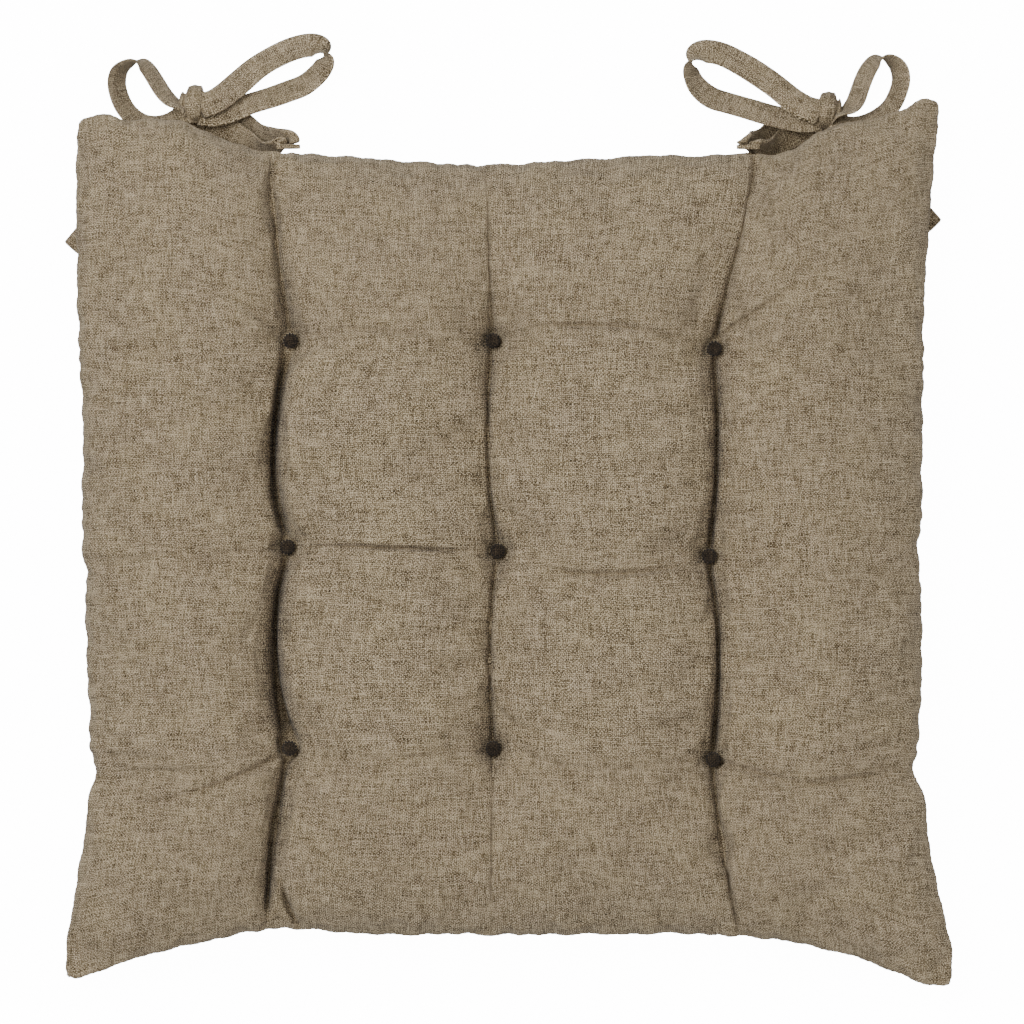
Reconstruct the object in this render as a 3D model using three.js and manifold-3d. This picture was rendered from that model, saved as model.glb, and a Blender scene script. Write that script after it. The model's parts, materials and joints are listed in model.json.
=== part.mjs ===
// A button-tufted seat cushion for a chair, lying on its underside with its two rear ties each tied in a bow.
// Two cloth panels are sewn together all round over a fibre filling. Nine lengths of twine pull the panels
// together: each one runs from the eye of a covered button, through the pad, to a flat button underneath.
// Millimetres. +X is to the sitter's right, +Y is to the back of the chair, +Z is up, and the pad rests on z = 0.
import * as THREE from "three";
import { mergeVertices } from "three/addons/utils/BufferGeometryUtils.js";
import Module from "manifold-3d";

const wasm = await Module();
wasm.setup();

// ---------- Driving dimensions: the pad ----------
const padWidth = 400; // the cut width of the cover, from corner to corner
const padDepth = 400; // the cut depth of the cover, from corner to corner
const padHeight = 60; // the crown of the rolls above the seat
const seamHeight = 28; // the edge seam above the seat, along the middle of each side
const cornerDroop = 8; // the corners hang this much lower than the sides
const clothThickness = 0.8;
const clearance = 0.3; // between any two pieces that touch on the real cushion
const seamThreadRadius = 0.6;
const edgeShare = 0.97; // the filling stops at this share of the way out to the seam

// The filling pulls the sides in between the corners: [share of the side from its first corner, inset].
const rearInset = [
  [0.03, -1], [0.05, 2.9], [0.09, 2.2], [0.128, 3.4], [0.157, 7.5], [0.188, 12.6], [0.225, 17], [0.305, 20.1],
  [0.374, 23], [0.49, 26.8], [0.628, 23], [0.766, 23.8], [0.791, 22], [0.826, 14.3], [0.881, 10.1], [0.952, 5.4],
];
const frontInset = [
  [0.043, 4.3], [0.087, 10.3], [0.132, 14.6], [0.222, 22.2], [0.267, 25.1], [0.379, 21.9], [0.446, 23.1],
  [0.692, 24], [0.782, 21.5], [0.871, 14.6], [0.916, 8.4], [0.961, 1.8],
];
const leftInset = [
  [0.225, 1.8], [0.363, 5.3], [0.5, 6.1], [0.62, 8.2], [0.73, 10.7], [0.755, 13.5], [0.785, 11], [0.87, 6.1],
  [0.94, 2.4],
];
const rightInset = [
  [0.04, 2.2], [0.106, 5.2], [0.24, 9.5], [0.374, 10.8], [0.509, 13.5], [0.62, 12.1], [0.733, 15.4],
  [0.755, 17.5], [0.785, 12.5], [0.867, 8], [0.912, 4.1], [0.957, 0.5],
];

// Where each corner of the filled pad lies beside the corner of its flat cover.
const frontLeftShift = [-3, 0.7];
const frontRightShift = [3, -3];
const rearLeftShift = [3, -5];
const rearRightShift = [-2.5, 3];

// ---------- Driving dimensions: the tufts ----------
const tuftPitchX = 96;
const tuftPitchY = 93;
const tuftCentre = [-3.5, -2.5];
const tuftTop = 36; // the top panel above the seat, under a button
const tuftBottom = 20; // the bottom panel above the seat, over a flat button
const anchorRadius = 6; // of the flat buttons underneath
const tuftFlat = (anchorRadius * 13) / 12; // half the width of the flat patch that a button is drawn down on
const tuftReach = 24; // where a tuft's hollow in the top panel ends
const tuftSlope = 20; // where the panels' faces are cut across a tuft's hollow, and where it ends underneath
const tuftShift = 40; // how far round it a tuft draws the cloth with it
const valleyDepth = 13; // the groove between the rolls, below their crowns
const valleyWidth = 13;
// Each tuft is tied by hand, so it is a little off the grid: [x, y] for each column of each row, front row first.
const tuftOffset = [
  [[0.2, 2.6], [-3.5, 2.6], [0.4, -2.4]],
  [[-0.7, 0.9], [-1.3, -0.9], [-1.4, -3.2]],
  [[0.6, 1.5], [-3.5, 1.5], [0.9, -2.1]],
];

// ---------- Driving dimensions: buttons and twine ----------
const capRadius = 3.9;
const capHeight = 4.2;
const capSkirt = 1.4;
const capWall = 0.7;
const plateThickness = 1;
const eyeRadius = 1.1;
const eyeWire = 0.35;
const eyeDrop = 1.4; // from the plate's underside to the middle of the eye
const twineRadius = 0.5;
const twineLeg = 1.3; // each leg of the twine from the middle of the tuft
const anchorThickness = 2;
const roundSides = 10;
const threadSides = 5;

// ---------- Driving dimensions: the ties ----------
const tieWidth = 12.5;
const tieThickness = 1.6;
const gatheredWidth = 5; // each tie is gathered where it is sewn into the seam
const endLength = 0.8; // the sewn end that stands out of the seam
const endThickness = 1;
const endWidth = 11;
const knotHalf = [7.1, 8, 7.4];
const sectionsPerPoint = 2;

// Each tie is a flat cord: from the rear seam to the knot, round a loop back to the knot, and on to its tail.
// A stretch's route is its points, and its lean is the way its width points, evenly spaced along it.
const bows = {
  left: {
    rootX: -100,
    knot: [-143.5, 200.4, 8],
    stretches: {
      inner_tie: {
        points: [
          [-97, 181.9, 27], [-97, 183.4, 26.7], [-99.4, 185.1, 24.3], [-103.7, 185.1, 19.7],
          [-108.4, 185, 13.8], [-113.4, 186.1, 9.1], [-119, 189.6, 5.7], [-125.5, 193.4, 4.2],
          [-132, 196, 3.9], [-139, 198, 3.9],
        ],
        lean: [[1, 0, 0], [0.2, 0.4, 0.8], [0.1, 0.8, 0.6], [0.25, 0.9, 0.2], [0.2, 1, 0.1]],
      },
      outer_tie: {
        points: [
          [-103, 181.9, 27], [-103, 182.8, 26.2], [-104.9, 181.7, 22], [-108.7, 179.7, 16],
          [-113.2, 180.3, 11.7], [-118.3, 182.6, 9.3], [-124.8, 186.2, 7.3], [-132, 190.8, 6.4],
          [-139, 195, 6.5],
        ],
        lean: [[1, 0, 0], [-0.1, 0.4, 1], [0, 0.7, 0.8], [0.3, 0.9, 0.35], [0.3, 1, 0.1]],
      },
      inner_loop: {
        points: [
          [-141, 199.5, 14], [-135, 201, 13.5], [-128.5, 205.3, 12], [-122, 210.8, 9.5], [-115, 216.9, 7],
          [-106.2, 222.3, 5.2], [-96.7, 226.3, 4.8], [-88.8, 227.4, 5.6], [-84.8, 225.6, 6.6],
          [-83.1, 222.3, 7.2], [-84, 218.4, 7.2], [-86.6, 214.8, 6.6], [-93.1, 209.3, 6],
          [-100.4, 206.4, 6.4], [-108.3, 203.5, 7.8], [-117.8, 200.6, 9.6], [-126.4, 197.6, 10.4],
          [-133, 195.8, 11], [-139, 196, 11],
        ],
        lean: [[0.5, -0.75, 0.3], [0.45, -0.8, 0.45], [0.3, -0.85, 0.5], [0.2, -0.75, 0.6], [0, -0.9, 0.35]],
      },
      outer_loop: {
        points: [
          [-147, 199, 11.2], [-153, 201, 10.7], [-157.3, 205.3, 9], [-161.2, 211.5, 7.6],
          [-164.8, 216.9, 7], [-168.5, 220, 7.2], [-172.8, 219.4, 7.2], [-177.5, 216.2, 6.4],
          [-179, 210.4, 6], [-177.9, 204.6, 6], [-175.3, 198.8, 6.2], [-171.3, 194.4, 6.8],
          [-166.3, 191.8, 7.8], [-159, 191.4, 9.2], [-152, 193.6, 10.4], [-146, 197, 10.4],
        ],
        lean: [[-0.8, 0, 0.6], [-0.65, 0, 0.75], [-0.65, 0, 0.75], [-0.55, -0.4, 0.7], [0, -0.8, 0.5]],
      },
      inner_tail: {
        points: [
          [-141, 197, 1.2], [-141, 191, 1.1], [-138, 184.5, 1], [-130, 178, 1], [-117, 174, 1], [-103, 171.8, 1],
          [-90, 170.6, 1],
        ],
        lean: [[1, 0, 0], [0.6, 0.8, 0], [0.2, 1, 0], [0.1, 1, 0]],
      },
      outer_tail: {
        points: [
          [-145.5, 198, 3.9], [-150, 192.6, 3], [-158, 182.8, 1.3], [-170, 168.2, 1], [-184, 151.1, 1],
          [-198.5, 133.4, 1],
        ],
        lean: [[0.774, -0.634, 0], [0.774, -0.634, 0]],
      },
    },
  },
  right: {
    rootX: 109,
    knot: [145.3, 197.4, 8],
    stretches: {
      inner_tie: {
        points: [
          [106, 181.8, 26.7], [106, 183.2, 26.3], [108.5, 183.7, 22], [111.2, 183, 14.5], [114.8, 184, 8.5],
          [119.2, 186.9, 5.5], [125, 190.2, 4.2], [131, 192.5, 3.9], [140, 195.4, 3.8],
        ],
        lean: [[1, 0, 0], [-0.2, 0.4, 0.8], [-0.1, 0.8, 0.6], [-0.25, 0.9, 0.2], [-0.2, 1, 0.1]],
      },
      outer_tie: {
        points: [
          [112, 181.8, 26.7], [112, 182.6, 25.8], [114.3, 181.6, 20.3], [117.4, 180.6, 14.4],
          [121.3, 181.7, 10.1], [125.4, 184.1, 8.4], [130.8, 187.4, 7.1], [136, 190.7, 6.5],
          [141, 194.5, 6.7],
        ],
        lean: [[1, 0, 0], [0.1, 0.4, 1], [0, 0.8, 0.6], [-0.3, 0.9, 0.3], [-0.3, 1, 0.1]],
      },
      inner_loop: {
        points: [
          [142.5, 196.5, 14.6], [136.5, 198, 14.8], [130.1, 201.7, 13.2], [122.2, 208.2, 10],
          [114.2, 214, 7], [105.5, 219.4, 5.2], [96.1, 223.8, 4.8], [88.1, 224.5, 5.6], [84.4, 222, 6.6],
          [82.9, 218.7, 7.2], [83.4, 214, 7.2], [85.9, 208.9, 6.6], [92.4, 203.4, 6.2],
          [101.1, 200.6, 7.2], [109.8, 198, 9.6], [118.5, 195.3, 12.2], [127.2, 193.4, 12.8],
          [134, 192.8, 12.8], [141, 193.4, 12.4],
        ],
        lean: [[-0.5, -0.75, 0.3], [-0.45, -0.8, 0.45], [-0.3, -0.85, 0.5], [-0.2, -0.75, 0.6], [0, -0.9, 0.35]],
      },
      outer_loop: {
        points: [
          [149, 196, 11], [155, 197.6, 10.5], [158.2, 201, 9.2], [159.8, 205.3, 8], [163.1, 214, 7],
          [166, 218.7, 7], [169.6, 221.8, 7.2], [174.3, 220.9, 7.2], [177.9, 217.7, 6.4],
          [179.3, 211.8, 6], [177.9, 206, 6], [174.7, 199.5, 6.2], [170, 195.2, 6.8], [164.2, 192, 7.8],
          [157.6, 190.6, 9.2], [152, 191.6, 10.4], [148, 194, 10.4],
        ],
        lean: [[0.8, 0, 0.6], [0.65, 0, 0.75], [0.65, 0, 0.75], [0.55, -0.4, 0.7], [0, -0.8, 0.5]],
      },
      inner_tail: {
        points: [
          [143, 194, 1.2], [142.5, 188, 1.1], [138.5, 181.5, 1], [130, 176.5, 1], [117, 173.5, 1], [104, 171.8, 1],
          [92, 170.6, 1],
        ],
        lean: [[1, 0, 0], [0.6, -0.8, 0], [0.2, -1, 0], [0.1, -1, 0]],
      },
      outer_tail: {
        points: [
          [147, 195.4, 3.9], [151.3, 190.3, 3], [159, 181.7, 1.3], [170, 169.5, 1], [182, 156.3, 1],
          [193.7, 143.3, 1],
        ],
        lean: [[-0.74, -0.67, 0], [-0.74, -0.67, 0]],
      },
    },
  },
};

// ---------- The cover's outline ----------
const halfWidth = padWidth / 2;
const halfDepth = padDepth / 2;
const rearLeft = new THREE.Vector2(-halfWidth + rearLeftShift[0], halfDepth + rearLeftShift[1]);
const rearRight = new THREE.Vector2(halfWidth + rearRightShift[0], halfDepth + rearRightShift[1]);
const frontLeft = new THREE.Vector2(-halfWidth + frontLeftShift[0], -halfDepth + frontLeftShift[1]);
const frontRight = new THREE.Vector2(halfWidth + frontRightShift[0], -halfDepth + frontRightShift[1]);

// One side of the outline as a smooth curve from one corner to the next, drawn in towards the pad.
function side(from, to, insets, inward) {
  const points = [[0, 0], ...insets, [1, 0]].map(([share, inset]) => {
    const at = from.clone().lerp(to, share).addScaledVector(inward, inset);
    return new THREE.Vector3(at.x, at.y, 0);
  });
  return new THREE.CatmullRomCurve3(points, false, "centripetal");
}

// The point of a side at a share of its length along the line between its corners.
function sidePoint(points, share, axis) {
  const first = points[0][axis];
  const last = points[points.length - 1][axis];
  const wanted = first + (last - first) * share;
  const turn = Math.sign(last - first);
  let i = 1;
  while (i < points.length - 1 && (points[i][axis] - wanted) * turn < 0) i++;
  const a = points[i - 1];
  const b = points[i];
  return a.clone().lerp(b, THREE.MathUtils.clamp((wanted - a[axis]) / (b[axis] - a[axis]), 0, 1));
}

const sideSamples = 400;
const rearSide = side(rearLeft, rearRight, rearInset, new THREE.Vector2(0, -1)).getPoints(sideSamples);
const frontSide = side(frontLeft, frontRight, frontInset, new THREE.Vector2(0, 1)).getPoints(sideSamples);
const leftSide = side(rearLeft, frontLeft, leftInset, new THREE.Vector2(1, 0)).getPoints(sideSamples);
const rightSide = side(rearRight, frontRight, rightInset, new THREE.Vector2(-1, 0)).getPoints(sideSamples);

// A patch stretched between the four sides. u runs from -1 at the left to 1, and v from -1 at the front to 1.
function patchPoint(u, v) {
  const s = (u + 1) / 2;
  const t = (1 - v) / 2; // the left and right sides run from the rear to the front
  const rear = sidePoint(rearSide, s, "x");
  const front = sidePoint(frontSide, s, "x");
  const left = sidePoint(leftSide, t, "y");
  const right = sidePoint(rightSide, t, "y");
  const mix = (a, b, c, d) => (1 - s) * (1 - t) * a + s * (1 - t) * b + (1 - s) * t * c + s * t * d;
  return new THREE.Vector2(
    (1 - t) * rear.x + t * front.x + (1 - s) * left.x + s * right.x
      - mix(rearLeft.x, rearRight.x, frontLeft.x, frontRight.x),
    (1 - t) * rear.y + t * front.y + (1 - s) * left.y + s * right.y
      - mix(rearLeft.y, rearRight.y, frontLeft.y, frontRight.y),
  );
}

// ---------- The tufts' places ----------
const steps = [-1, 0, 1];
const tufts = steps.flatMap((row) => steps.map((column) => {
  const u = (tuftCentre[0] + column * tuftPitchX) / halfWidth;
  const v = (tuftCentre[1] + row * tuftPitchY) / halfDepth;
  const [dx, dy] = tuftOffset[row + 1][column + 1];
  const at = new THREE.Vector2(tuftCentre[0] + column * tuftPitchX + dx, tuftCentre[1] + row * tuftPitchY + dy);
  return { name: `${["front", "middle", "rear"][row + 1]}_${["left", "centre", "right"][column + 1]}`, u, v, at,
    moved: at.clone().sub(patchPoint(u, v)) };
}));

// How far a place on the flat cover is from a tuft, measured square so that the patch under a button stays flat.
const tuftDistance = (tuft, u, v) =>
  Math.max(Math.abs(u - tuft.u) * halfWidth, Math.abs(v - tuft.v) * halfDepth);

const fade = (distance, near, far) => 1 - THREE.MathUtils.smoothstep(distance, near, far);

// Where a place on the flat cover lies in plan, once the tufts have drawn the cloth with them.
function planPoint(u, v) {
  const at = patchPoint(u, v);
  for (const tuft of tufts) {
    at.addScaledVector(tuft.moved, fade(tuftDistance(tuft, u, v), 1.2 * tuftFlat, tuftShift));
  }
  return at;
}

// ---------- The pad's faces ----------
const roundness = (share) => Math.sqrt(Math.max(0, 1 - share ** 4));
const seamLevel = (u, v) => seamHeight - cornerDroop * Math.abs(u * v) ** 3;

// How deep the grooves between the rolls are here, as a share of valleyDepth.
function groove(u, v) {
  const across = steps.map((c) => u * halfWidth - tuftCentre[0] - c * tuftPitchX);
  const along = steps.map((r) => v * halfDepth - tuftCentre[1] - r * tuftPitchY);
  const deepest = (list) => Math.max(...list.map((d) => Math.exp(-((d / valleyWidth) ** 2))));
  return deepest(across) * roundness(v) + 0.4 * deepest(along) * roundness(u);
}

function topLevel(u, v) {
  const roll = seamLevel(u, v) + (padHeight - seamHeight) * roundness(u) * roundness(v);
  const level = roll - valleyDepth * groove(u, v) * roundness(u) * roundness(v);
  return drawnTo(tuftTop, tuftReach, level, u, v);
}

// The underside would bulge below the seat, so it lies flat on it there.
const bottomBulge = 1.25;
function bottomLevel(u, v) {
  const roll = seamLevel(u, v) - bottomBulge * seamHeight * roundness(u) * roundness(v);
  return drawnTo(tuftBottom, tuftSlope, Math.max(0, roll), u, v);
}

// A level once the tufts have drawn the panel to theirs, in hollows that end at a reach.
function drawnTo(tuftLevel, reach, level, u, v) {
  return tufts.reduce(
    (at, tuft) => THREE.MathUtils.lerp(at, tuftLevel, fade(tuftDistance(tuft, u, v), tuftFlat, reach)),
    level,
  );
}

// The lines that the panels' faces are cut along: both edges of each button's patch, and between them the rolls.
function faceLines(centre, pitch, half) {
  const lines = [-1, -edgeShare, -0.88, -0.74, 0.74, 0.88, edgeShare, 1];
  for (const step of steps) {
    for (const offset of [-tuftSlope, -tuftFlat, tuftFlat, tuftSlope]) {
      lines.push((centre + step * pitch + offset) / half);
    }
  }
  for (const step of [-0.5, 0.5]) lines.push((centre + step * pitch) / half);
  return lines.sort((a, b) => a - b);
}
const columns = faceLines(tuftCentre[0], tuftPitchX, halfWidth);
const rows = faceLines(tuftCentre[1], tuftPitchY, halfDepth);

// A point set in from the seam by a distance that dies out towards the middle of the pad.
function insetPlan(u, v, inset) {
  const at = planPoint(u, v);
  const drawIn = (share) => Math.sign(share) * inset * THREE.MathUtils.smoothstep(Math.abs(share), 0.8, 1);
  return at.sub(new THREE.Vector2(drawIn(u), drawIn(v)));
}

// A closed solid between an upper and a lower face on the same lines, with a wall round its rim.
function slab(us, vs, upper, lower) {
  const across = us.length;
  const positions = [];
  for (const face of [upper, lower]) for (const v of vs) for (const u of us) positions.push(...face(u, v));
  const at = (layer, j, i) => layer * across * vs.length + j * across + i;
  const index = [];
  const quad = (a, b, c, d) => index.push(a, b, c, a, c, d);
  for (let j = 0; j < vs.length - 1; j++) {
    for (let i = 0; i < across - 1; i++) {
      quad(at(0, j, i), at(0, j, i + 1), at(0, j + 1, i + 1), at(0, j + 1, i));
      quad(at(1, j, i), at(1, j + 1, i), at(1, j + 1, i + 1), at(1, j, i + 1));
    }
  }
  const last = across - 1;
  const end = vs.length - 1;
  for (let i = 0; i < last; i++) {
    quad(at(1, 0, i), at(1, 0, i + 1), at(0, 0, i + 1), at(0, 0, i));
    quad(at(1, end, i + 1), at(1, end, i), at(0, end, i), at(0, end, i + 1));
  }
  for (let j = 0; j < end; j++) {
    quad(at(1, j + 1, 0), at(1, j, 0), at(0, j, 0), at(0, j + 1, 0));
    quad(at(1, j, last), at(1, j + 1, last), at(0, j + 1, last), at(0, j, last));
  }
  const geometry = new THREE.BufferGeometry();
  geometry.setAttribute("position", new THREE.BufferAttribute(new Float32Array(positions), 3));
  geometry.setIndex(index);
  return geometry;
}

// The faces of the panels and the filling, from the cloth's outside to the filling.
const panelInset = seamThreadRadius + clearance;
const panelInner = panelInset + clothThickness;
const fillingInset = panelInner + clearance;
const topFace = (inset, sink) => (u, v) => {
  const at = insetPlan(u, v, inset);
  return [at.x, at.y, Math.max(topLevel(u, v) - sink, seamLevel(u, v) + clearance / 2)];
};
const bottomFace = (inset, rise) => (u, v) => {
  const at = insetPlan(u, v, inset);
  return [at.x, at.y, Math.min(bottomLevel(u, v) + rise, seamLevel(u, v) - clearance / 2)];
};

// ---------- Solids ----------
function solidOf(geometry) {
  const bare = geometry.clone();
  bare.deleteAttribute("normal");
  bare.deleteAttribute("uv");
  const merged = mergeVertices(bare, 1e-3);
  return new wasm.Manifold(new wasm.Mesh({
    numProp: 3,
    vertProperties: new Float32Array(merged.attributes.position.array),
    triVerts: new Uint32Array(merged.index.array),
  }));
}

function geometryOf(solid) {
  const mesh = solid.getMesh();
  const geometry = new THREE.BufferGeometry();
  geometry.setAttribute("position", new THREE.BufferAttribute(new Float32Array(mesh.vertProperties), 3));
  geometry.setIndex(new THREE.BufferAttribute(new Uint32Array(mesh.triVerts), 1));
  return geometry;
}

// An upright cylinder between two levels.
function post(radius, low, high, x, y) {
  return new THREE.CylinderGeometry(radius, radius, high - low, roundSides)
    .rotateX(Math.PI / 2)
    .translate(x, y, (low + high) / 2);
}

// The panels and the filling are holed where the twine passes through.
const twineHole = twineLeg + twineRadius + clearance;
function pierced(geometry) {
  const holes = tufts.map(({ at }) => solidOf(post(twineHole, -1, padHeight, at.x, at.y)));
  return geometryOf(holes.reduce((solid, hole) => solid.subtract(hole), solidOf(geometry)));
}

// A closed tube round a ring of points that lies near the plane square to the normal.
function ringTube(points, radius, normal) {
  const count = points.length;
  const positions = [];
  points.forEach((p, i) => {
    const ahead = points[(i + 1) % count].clone().sub(points[(i + count - 1) % count]).normalize();
    const out = normal.clone().cross(ahead).normalize();
    for (let k = 0; k < threadSides; k++) {
      const angle = (2 * Math.PI * k) / threadSides;
      const at = p.clone()
        .addScaledVector(out, radius * Math.cos(angle))
        .addScaledVector(normal, radius * Math.sin(angle));
      positions.push(at.x, at.y, at.z);
    }
  });
  const index = [];
  for (let i = 0; i < count; i++) {
    for (let k = 0; k < threadSides; k++) {
      const a = i * threadSides + k;
      const b = i * threadSides + ((k + 1) % threadSides);
      const c = ((i + 1) % count) * threadSides + ((k + 1) % threadSides);
      const d = ((i + 1) % count) * threadSides + k;
      index.push(a, c, d, a, b, c);
    }
  }
  const geometry = new THREE.BufferGeometry();
  geometry.setAttribute("position", new THREE.BufferAttribute(new Float32Array(positions), 3));
  geometry.setIndex(index);
  return geometry;
}

// The lockstitch round the edge, as one ring of thread along the rim of the panels.
function seamThread() {
  const front = columns.map((u) => [u, -1]);
  const right = rows.map((v) => [1, v]);
  const rear = columns.map((u) => [u, 1]).reverse();
  const left = rows.map((v) => [-1, v]).reverse();
  const points = [front, right, rear, left].flatMap((line) => line.slice(0, -1)).map(([u, v]) => {
    const at = planPoint(u, v);
    return new THREE.Vector3(at.x, at.y, seamLevel(u, v));
  });
  return ringTube(points, seamThreadRadius, new THREE.Vector3(0, 0, 1));
}

// ---------- Buttons ----------
const capBase = tuftTop + clearance;
const recessRadius = capRadius - capWall;
const recessDepth = plateThickness + 2 * clearance;

// The cloth-covered dome, open below where the plate is pressed in.
function capGeometry() {
  const profile = [
    [0, recessDepth], [recessRadius, recessDepth], [recessRadius, 0], [capRadius - 0.3, 0],
    [capRadius, capSkirt / 2], [capRadius, capSkirt], [0.8 * capRadius, 0.8 * capHeight], [0, capHeight],
  ];
  return new THREE.LatheGeometry(profile.map(([r, z]) => new THREE.Vector2(r, z)), roundSides)
    .rotateX(Math.PI / 2);
}

// The plate that closes the button, with the wire eye that the twine is tied to. Its z = 0 is the cap's base.
const plateRadius = recessRadius - clearance;
const eyeLevel = clearance - eyeDrop;
function plateGeometry() {
  const plate = post(plateRadius, clearance, clearance + plateThickness, 0, 0);
  const eye = new THREE.TorusGeometry(eyeRadius, eyeWire, 6, 10).rotateY(Math.PI / 2).translate(0, 0, eyeLevel);
  const lug = post(2 * eyeWire, eyeLevel + eyeRadius, clearance + plateThickness / 2, 0, 0);
  return geometryOf(solidOf(plate).add(solidOf(eye)).add(solidOf(lug)));
}

// The flat button underneath, with a hole for each leg of the twine.
const anchorTop = tuftBottom - clearance;
const anchorBase = anchorTop - anchorThickness;
function anchorGeometry() {
  const profile = [
    [0, 0.4], [0.6 * anchorRadius, 0.4], [0.75 * anchorRadius, 0], [0.93 * anchorRadius, 0],
    [anchorRadius, 0.3 * anchorThickness], [anchorRadius, 0.8 * anchorThickness],
    [0.93 * anchorRadius, anchorThickness], [0, anchorThickness],
  ];
  const disc = new THREE.LatheGeometry(profile.map(([r, z]) => new THREE.Vector2(r, z)), roundSides)
    .rotateX(Math.PI / 2);
  const hole = (x) => solidOf(post(twineRadius + clearance, -1, anchorThickness + 1, x, 0));
  return geometryOf(solidOf(disc).subtract(hole(-twineLeg)).subtract(hole(twineLeg)));
}

// The loop of twine: up one side, through the button's eye, down the other and under the flat button.
function twineGeometry() {
  const top = capBase + eyeLevel - twineLeg;
  const bottom = anchorBase + 0.4;
  const bend = (centre, from) => [0, 1, 2, 3, 4].map((i) => {
    const angle = from + (i * Math.PI) / 4;
    return new THREE.Vector3(twineLeg * Math.cos(angle), 0, centre + twineLeg * Math.sin(angle));
  });
  return ringTube([...bend(top, 0), ...bend(bottom, Math.PI)], twineRadius, new THREE.Vector3(0, 1, 0));
}

// ---------- Ties ----------
const triples = (list) => list.map((at) => new THREE.Vector3(...at));

// A flat strap along a route, with its width leaning as it is told, square to the way it runs.
function strap({ points, lean }, widthAt) {
  const route = new THREE.CatmullRomCurve3(triples(points), false, "centripetal");
  const leans = new THREE.CatmullRomCurve3(triples(lean));
  const sections = (points.length - 1) * sectionsPerPoint;
  const positions = [];
  const index = [];
  for (let i = 0; i <= sections; i++) {
    const share = i / sections;
    const at = route.getPoint(share);
    const along = route.getTangent(share);
    const across = leans.getPoint(share);
    across.addScaledVector(along, -across.dot(along)).normalize();
    const through = along.clone().cross(across);
    for (const [a, b] of [[-1, -1], [1, -1], [1, 1], [-1, 1]]) {
      const corner = at.clone()
        .addScaledVector(across, (a * widthAt(share)) / 2)
        .addScaledVector(through, (b * tieThickness) / 2);
      positions.push(corner.x, corner.y, corner.z);
    }
    for (let k = 0; i > 0 && k < 4; k++) {
      const a = 4 * (i - 1) + k;
      const b = 4 * (i - 1) + ((k + 1) % 4);
      index.push(a, b, b + 4, a, b + 4, a + 4);
    }
  }
  const end = 4 * sections;
  index.push(0, 2, 1, 0, 3, 2, end, end + 1, end + 2, end, end + 2, end + 3);
  const geometry = new THREE.BufferGeometry();
  geometry.setAttribute("position", new THREE.BufferAttribute(new Float32Array(positions), 3));
  geometry.setIndex(index);
  return geometry;
}

// The knot as a rounded lump. Grown by the clearance, it trims the straps that go into it.
function knotGeometry(at, grown) {
  const half = knotHalf.map((size) => size + grown);
  return new THREE.SphereGeometry(1, 12, 8).scale(...half).translate(...at);
}

// A tie widens from its gathered end to its full width over the first part of its stretch.
const gatherShare = 0.55;
const gathering = (share) =>
  THREE.MathUtils.lerp(gatheredWidth, tieWidth, THREE.MathUtils.smoothstep(share, 0, gatherShare));

// How far back the panels' rim reaches at a place along the rear side.
const rearRim = columns.map((u) => planPoint(u, 1));
function rearRimAt(x) {
  const span = rearRim[rearRim.length - 1].x - rearRim[0].x;
  return sidePoint(rearRim, (x - rearRim[0].x) / span, "x").y;
}

// The sewn ends of both ties of a corner, which stand out of the rear seam.
function sewnEndGeometry(rootX) {
  const rim = Math.max(rearRimAt(rootX - endWidth / 2), rearRimAt(rootX + endWidth / 2));
  const start = rim + seamThreadRadius + clearance;
  const level = seamLevel(rootX / halfWidth, 1);
  return new THREE.BoxGeometry(endWidth, endLength, endThickness)
    .translate(rootX, start + endLength / 2, level);
}

// ---------- Assembly ----------
const cushion = new THREE.Group();

function addPiece(name, geometry, finish, at = [0, 0, 0]) {
  const piece = new THREE.Mesh(geometry, new THREE.MeshStandardMaterial(finish));
  piece.name = name;
  piece.position.set(...at);
  cushion.add(piece);
}

const linenWeave = { color: 0x8f816e, roughness: 0.95, metalness: 0 };
const fibre = { color: 0xe9e6de, roughness: 1, metalness: 0 };
const thread = { color: 0x857661, roughness: 0.9, metalness: 0 };
const waxedTwine = { color: 0xb5a58a, roughness: 0.8, metalness: 0 };
const platedWire = { color: 0xc2c2be, roughness: 0.35, metalness: 1 };
const moulded = { color: 0x6d6252, roughness: 0.5, metalness: 0 };

const inside = (lines) => lines.filter((line) => Math.abs(line) <= edgeShare);
const coverTop = slab(columns, rows, topFace(panelInset, 0), topFace(panelInner, clothThickness));
const coverBottom = slab(columns, rows, bottomFace(panelInner, clothThickness), bottomFace(panelInset, 0));
const fillingSink = clothThickness + clearance;
const filling = slab(
  inside(columns), inside(rows), topFace(fillingInset, fillingSink), bottomFace(fillingInset, fillingSink),
);
addPiece("cover_top", pierced(coverTop), linenWeave);
addPiece("cover_bottom", pierced(coverBottom), linenWeave);
addPiece("filling", pierced(filling), fibre);
addPiece("edge_seam_thread", seamThread(), thread);

for (const { name, at } of tufts) {
  addPiece(`button_cap_${name}`, capGeometry(), linenWeave, [at.x, at.y, capBase]);
  addPiece(`button_plate_${name}`, plateGeometry(), platedWire, [at.x, at.y, capBase]);
  addPiece(`tuft_twine_${name}`, twineGeometry(), waxedTwine, [at.x, at.y, 0]);
  addPiece(`under_button_${name}`, anchorGeometry(), moulded, [at.x, at.y, anchorBase]);
}

for (const [side, { rootX, knot, stretches }] of Object.entries(bows)) {
  const trim = solidOf(knotGeometry(knot, clearance));
  addPiece(`${side}_tie_end`, sewnEndGeometry(rootX), linenWeave);
  addPiece(`${side}_knot`, knotGeometry(knot, 0), linenWeave);
  for (const [name, stretch] of Object.entries(stretches)) {
    const widthAt = name.endsWith("_tie") ? gathering : () => tieWidth;
    addPiece(`${side}_${name}`, geometryOf(solidOf(strap(stretch, widthAt)).subtract(trim)), linenWeave);
  }
}

export default cushion;
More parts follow.
